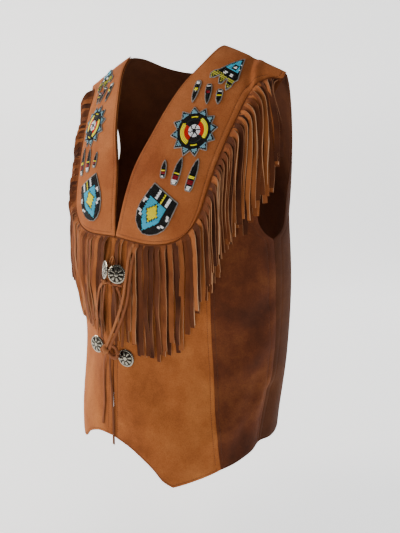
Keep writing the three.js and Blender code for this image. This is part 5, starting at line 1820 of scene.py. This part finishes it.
@dataclass(frozen=True)
class TieTab:
    """The slit leather loop above the upper conchos.

    Args: PROFILE: shares out from the slot and up through the wall, round the section; x, z, lift: its seat;
    length, width, wall; slit, slit_width: its slot; lean: degrees.
    """

    PROFILE: ClassVar[tuple[XY, ...]] = (
        (0, 0.25), (0, 0.75), (0.12, 1), (0.5, 1.05), (0.88, 1), (1, 0.75), (1, 0.25), (0.88, 0), (0.5, 0), (0.12, 0),
    )
    x: float = 2
    z: float = -304
    lift: float = 5.2
    length: float = 22
    width: float = 7.5
    wall: float = 1.6
    slit: float = 9
    slit_width: float = 2.4
    lean: float = 20

    def outline(self, half: float, top: float, bottom: float, round_foot: bool) -> Array:
        """Args: half: half width; top, bottom: ends; round_foot: round or square foot. Returns: (n, 2) points."""
        angle = np.linspace(0, np.pi, 16)
        head = polar(half, angle) + [0, top - half]
        power = 1.0 if round_foot else 0.35
        shape = np.sign(np.cos(angle)) * np.abs(np.cos(angle)) ** power
        depth = np.sin(angle) ** power
        foot = np.stack([-half * shape, bottom + half * (1 - depth)], -1)
        return np.vstack([head, foot])

    def shell(self) -> Shell:
        """A ring-shaped strip from the slot's edge to the tab's edge, walked round with a rounded section.

        Returns: the closed shell.
        """
        outer = self.outline(self.width / 2, self.length / 2, -self.length / 2, False)
        top = self.length / 2 - self.width / 2 + self.slit_width / 2
        inner = self.outline(self.slit_width / 2, top, top - self.slit - self.slit_width, True)
        rings = np.stack([
            np.concatenate([inner * (1 - out) + outer * out, np.full((len(outer), 1), up * self.wall)], -1)
            for out, up in self.PROFILE
        ], 1)
        lean = -math.radians(self.lean)
        turned = np.array([[math.cos(lean), math.sin(lean), 0], [-math.sin(lean), math.cos(lean), 0], [0, 0, 1]])
        origin, axes = seat(self.x, self.z, self.lift)
        return swept(origin + (rings @ turned) @ axes, values=np.array([0.75]), closed=True)


class Closure:
    """Conchos, the slit tab and the knotted ties between them."""

    CONCHOS = (
        Concho("concho_upper_right", -4, -315, 10.6, -24, 10.2),
        Concho("concho_upper_left", 21.5, -317, 10.6, 24, 10.2, spin=9),
        Concho("concho_lower_right", -37, -442, 6.6, 24, 6.2, spin=4),
        Concho("concho_lower_left", 27, -447, 0.45, 0, 0, spin=17),
    )

    UPPER_TIE = ((-13, -332, 8.6), (-4, -332.4, 9.6), (8, -332.6, 9.4), (20, -332.4, 8.8), (30, -332.8, 7.8))
    LOWER_TIE = ((-22.6, -444, 2.6), (-15, -444, 4.8), (-6, -443.5, 5.4), (4, -446, 5.4), (13.7, -446, 2.6))
    ROUND_LACE = LaceStrip(width=4.0, wall=3.4, step=1.5)
    BOW_LACE = LaceStrip(width=5.4, wall=3.2, step=1.2)

    def upper_tie(self) -> Shell:
        """Returns: the lace between the upper conchos with its two knots."""
        return Shell.joined([
            self.ROUND_LACE.shell(self.UPPER_TIE)[0],
            Knot(-3, -332.4, 9.6, (6, 3.6, 4.2)).shell(1.3, 0.7),
            Knot(9, -332.4, 9, (4.5, 3.2, 3.6), lean=-15).shell(1.2, 0.45),
        ])

    def lower_tie(self) -> Shell:
        """Returns: the lace between the lower conchos with its large knot, its bow and a small knot."""
        angle = np.linspace(0.2, 2 * np.pi - 0.2, 10)
        bow = np.stack([8 + 11.5 * np.cos(angle), -439.5 + 9.5 * np.sin(angle), 7.4 + 1.5 * np.cos(angle)], -1)
        return Shell.joined([
            self.ROUND_LACE.shell(self.LOWER_TIE)[0],
            Knot(-9, -440, 7, (10.5, 8, 6), 3, 35).shell(2.4, 0.75),
            self.BOW_LACE.shell(bow.tolist(), tone=0.3)[0],
            Knot(17.5, -439, 7, (4.2, 4.2, 3.6), 1.5, -30).shell(1.6, 0.5),
        ])

    def build(self, finishes: Finishes) -> list[Piece]:
        """Args: finishes: the materials. Returns: the closure's pieces."""
        made = []
        for concho in self.CONCHOS:
            shells = [concho.shell()]
            if concho.stem > 0:
                post = concho.post()
                post.finish = post.finish + 1
                shells.append(post)
            metal = [finishes.silver, finishes.lace]
            piece = make_object(f"silver_{concho.name}", Shell.joined(shells), metal, 50)
            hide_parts(concho.name)
            made.append(piece)
        ties = {"tie_tab": TieTab().shell(), "tie_upper": self.upper_tie(), "tie_lower": self.lower_tie()}
        for node, shell in ties.items():
            piece = make_object(f"leather_{node}", shell, [finishes.lace])
            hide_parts(node)
            made.append(piece)
        return made


# ---------- studio ----------

RENDER_HEIGHT = 533


@dataclass(frozen=True)
class AreaLight:
    """A soft light.

    Args: name; place: in metres; target: what it faces; size: metres; watts; colour: sRGB hex.
    """

    name: str
    place: XYZ
    size: float
    watts: float
    colour: str = "#ffffff"
    target: XYZ = (0.0, 0.0, -0.32)

    def build(self) -> None:
        """Adds the light to the scene."""
        data = bpy.data.lights.new(self.name, "AREA")
        data.size = self.size
        data.energy = self.watts
        data.color = linear(self.colour)[:3]
        light = linked(self.name, data)
        light.location = self.place
        light.rotation_euler = (Vector(self.target) - Vector(self.place)).to_track_quat("-Z", "Y").to_euler()


@dataclass(frozen=True)
class Studio:
    """Camera, plain pale floor and backdrop, and soft lights.

    Args: eye, target: the camera's place and aim in metres; roll: degrees; lens, sensor: millimetres; shift: of the
    lens, in shares of the render's height; floor_z: metres; away: from the camera to the wall, seen from above;
    even_light: its strength.
    """

    eye: XYZ = (0.6334, -0.6217, -0.1015)
    target: XYZ = (0.0259, 0.0243, -0.3305)
    roll: float = -0.15
    lens: float = 37.5
    sensor: float = 36
    shift: XY = (4.43 / RENDER_HEIGHT, -2.4 / RENDER_HEIGHT)
    floor_z: float = -0.80
    away: XY = (-0.66, 0.75)
    even_light: float = 0.14
    lights: tuple[AreaLight, ...] = (
        AreaLight("key", (-1.95, -1.3, 0.7), 0.8, 58, "#fff5e8"),
        AreaLight("fill", (1.9, -1.5, 0.1), 1.6, 2.0, "#eef3ff"),
        AreaLight("rim", (-0.9, 1.5, 0.9), 1.0, 5),
        AreaLight("top", (0.1, -0.3, 1.7), 1.2, 5),
    )

    def camera(self) -> None:
        """Sets the camera."""
        data = bpy.data.cameras.new("camera")
        data.lens = self.lens
        data.sensor_width = self.sensor
        data.shift_x, data.shift_y = self.shift
        data.clip_start = 0.01
        camera = linked("camera", data)
        aim = (Vector(self.target) - Vector(self.eye)).to_track_quat("-Z", "Y")
        turn = aim.to_matrix().to_4x4() @ Matrix.Rotation(math.radians(self.roll), 4, "Z")
        camera.matrix_world = Matrix.Translation(self.eye) @ turn
        bpy.context.scene.camera = camera

    def backdrop(self) -> None:
        """Adds the floor, which bends up into a wall behind the vest."""
        glow = {"Emission Color": linear("#f4f5f6"), "Emission Strength": 1.3}
        paper = NodeSketch("matt white paper").finished({"Base Color": linear("#f1f0ee"), "Roughness": 0.9, **glow})
        reach, behind, bend, top = 7.0, 1.3, 0.9, 5.0
        turn = np.linspace(0, np.pi / 2, 16)
        far = np.concatenate([[-reach], bend * np.sin(turn) + behind, [behind + bend]])
        high = np.concatenate([[0], bend * (1 - np.cos(turn)), [top]])
        depth, side = np.meshgrid(far, np.linspace(-reach, reach, 2), indexing="ij")
        level = np.broadcast_to(high[:, None], depth.shape) + self.floor_z
        x, y = self.away
        points = np.stack([depth * x + side * y, depth * y - side * x, level], -1).reshape(-1, 3)
        mesh = bpy.data.meshes.new("backdrop")
        mesh.from_pydata(points.tolist(), [], grid_faces(np.arange(len(points)).reshape(depth.shape)).tolist())
        mesh.materials.append(paper)
        mesh.shade_smooth()
        linked("backdrop", mesh)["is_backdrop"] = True

    def build(self) -> None:
        """Adds the backdrop, the lights and the even light around."""
        self.backdrop()
        for light in self.lights:
            light.build()
        world = bpy.data.worlds.new("even light")
        world.use_nodes = True
        background = world.node_tree.nodes["Background"]
        background.inputs["Color"].default_value = linear("#eef0f3")
        background.inputs["Strength"].default_value = self.even_light
        bpy.context.scene.world = world


def as_lists(bounds: object) -> object:
    """Args: bounds: nested vectors. Returns: the same as plain lists of numbers."""
    if isinstance(bounds, (int, float)):
        return float(bounds)
    return [as_lists(part) for part in bounds]


def main() -> None:
    """Builds the vest's looks in order and reports each part."""
    logging.basicConfig(level=logging.INFO, format="%(message)s")
    before = as_lists(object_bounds())
    studio = Studio()
    studio.camera()
    finishes = Finishes()
    for part in (Laces(), BodyPanels(), Yokes(), Beadwork(), Closure()):
        pieces = part.build(finishes)
        faces = sum(len(piece.data.polygons) for piece in pieces)
        log.info("%s: %d pieces, %d faces", type(part).__name__, len(pieces), faces)
    studio.build()
    after = as_lists(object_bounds())


if __name__ == "__main__":
    main()
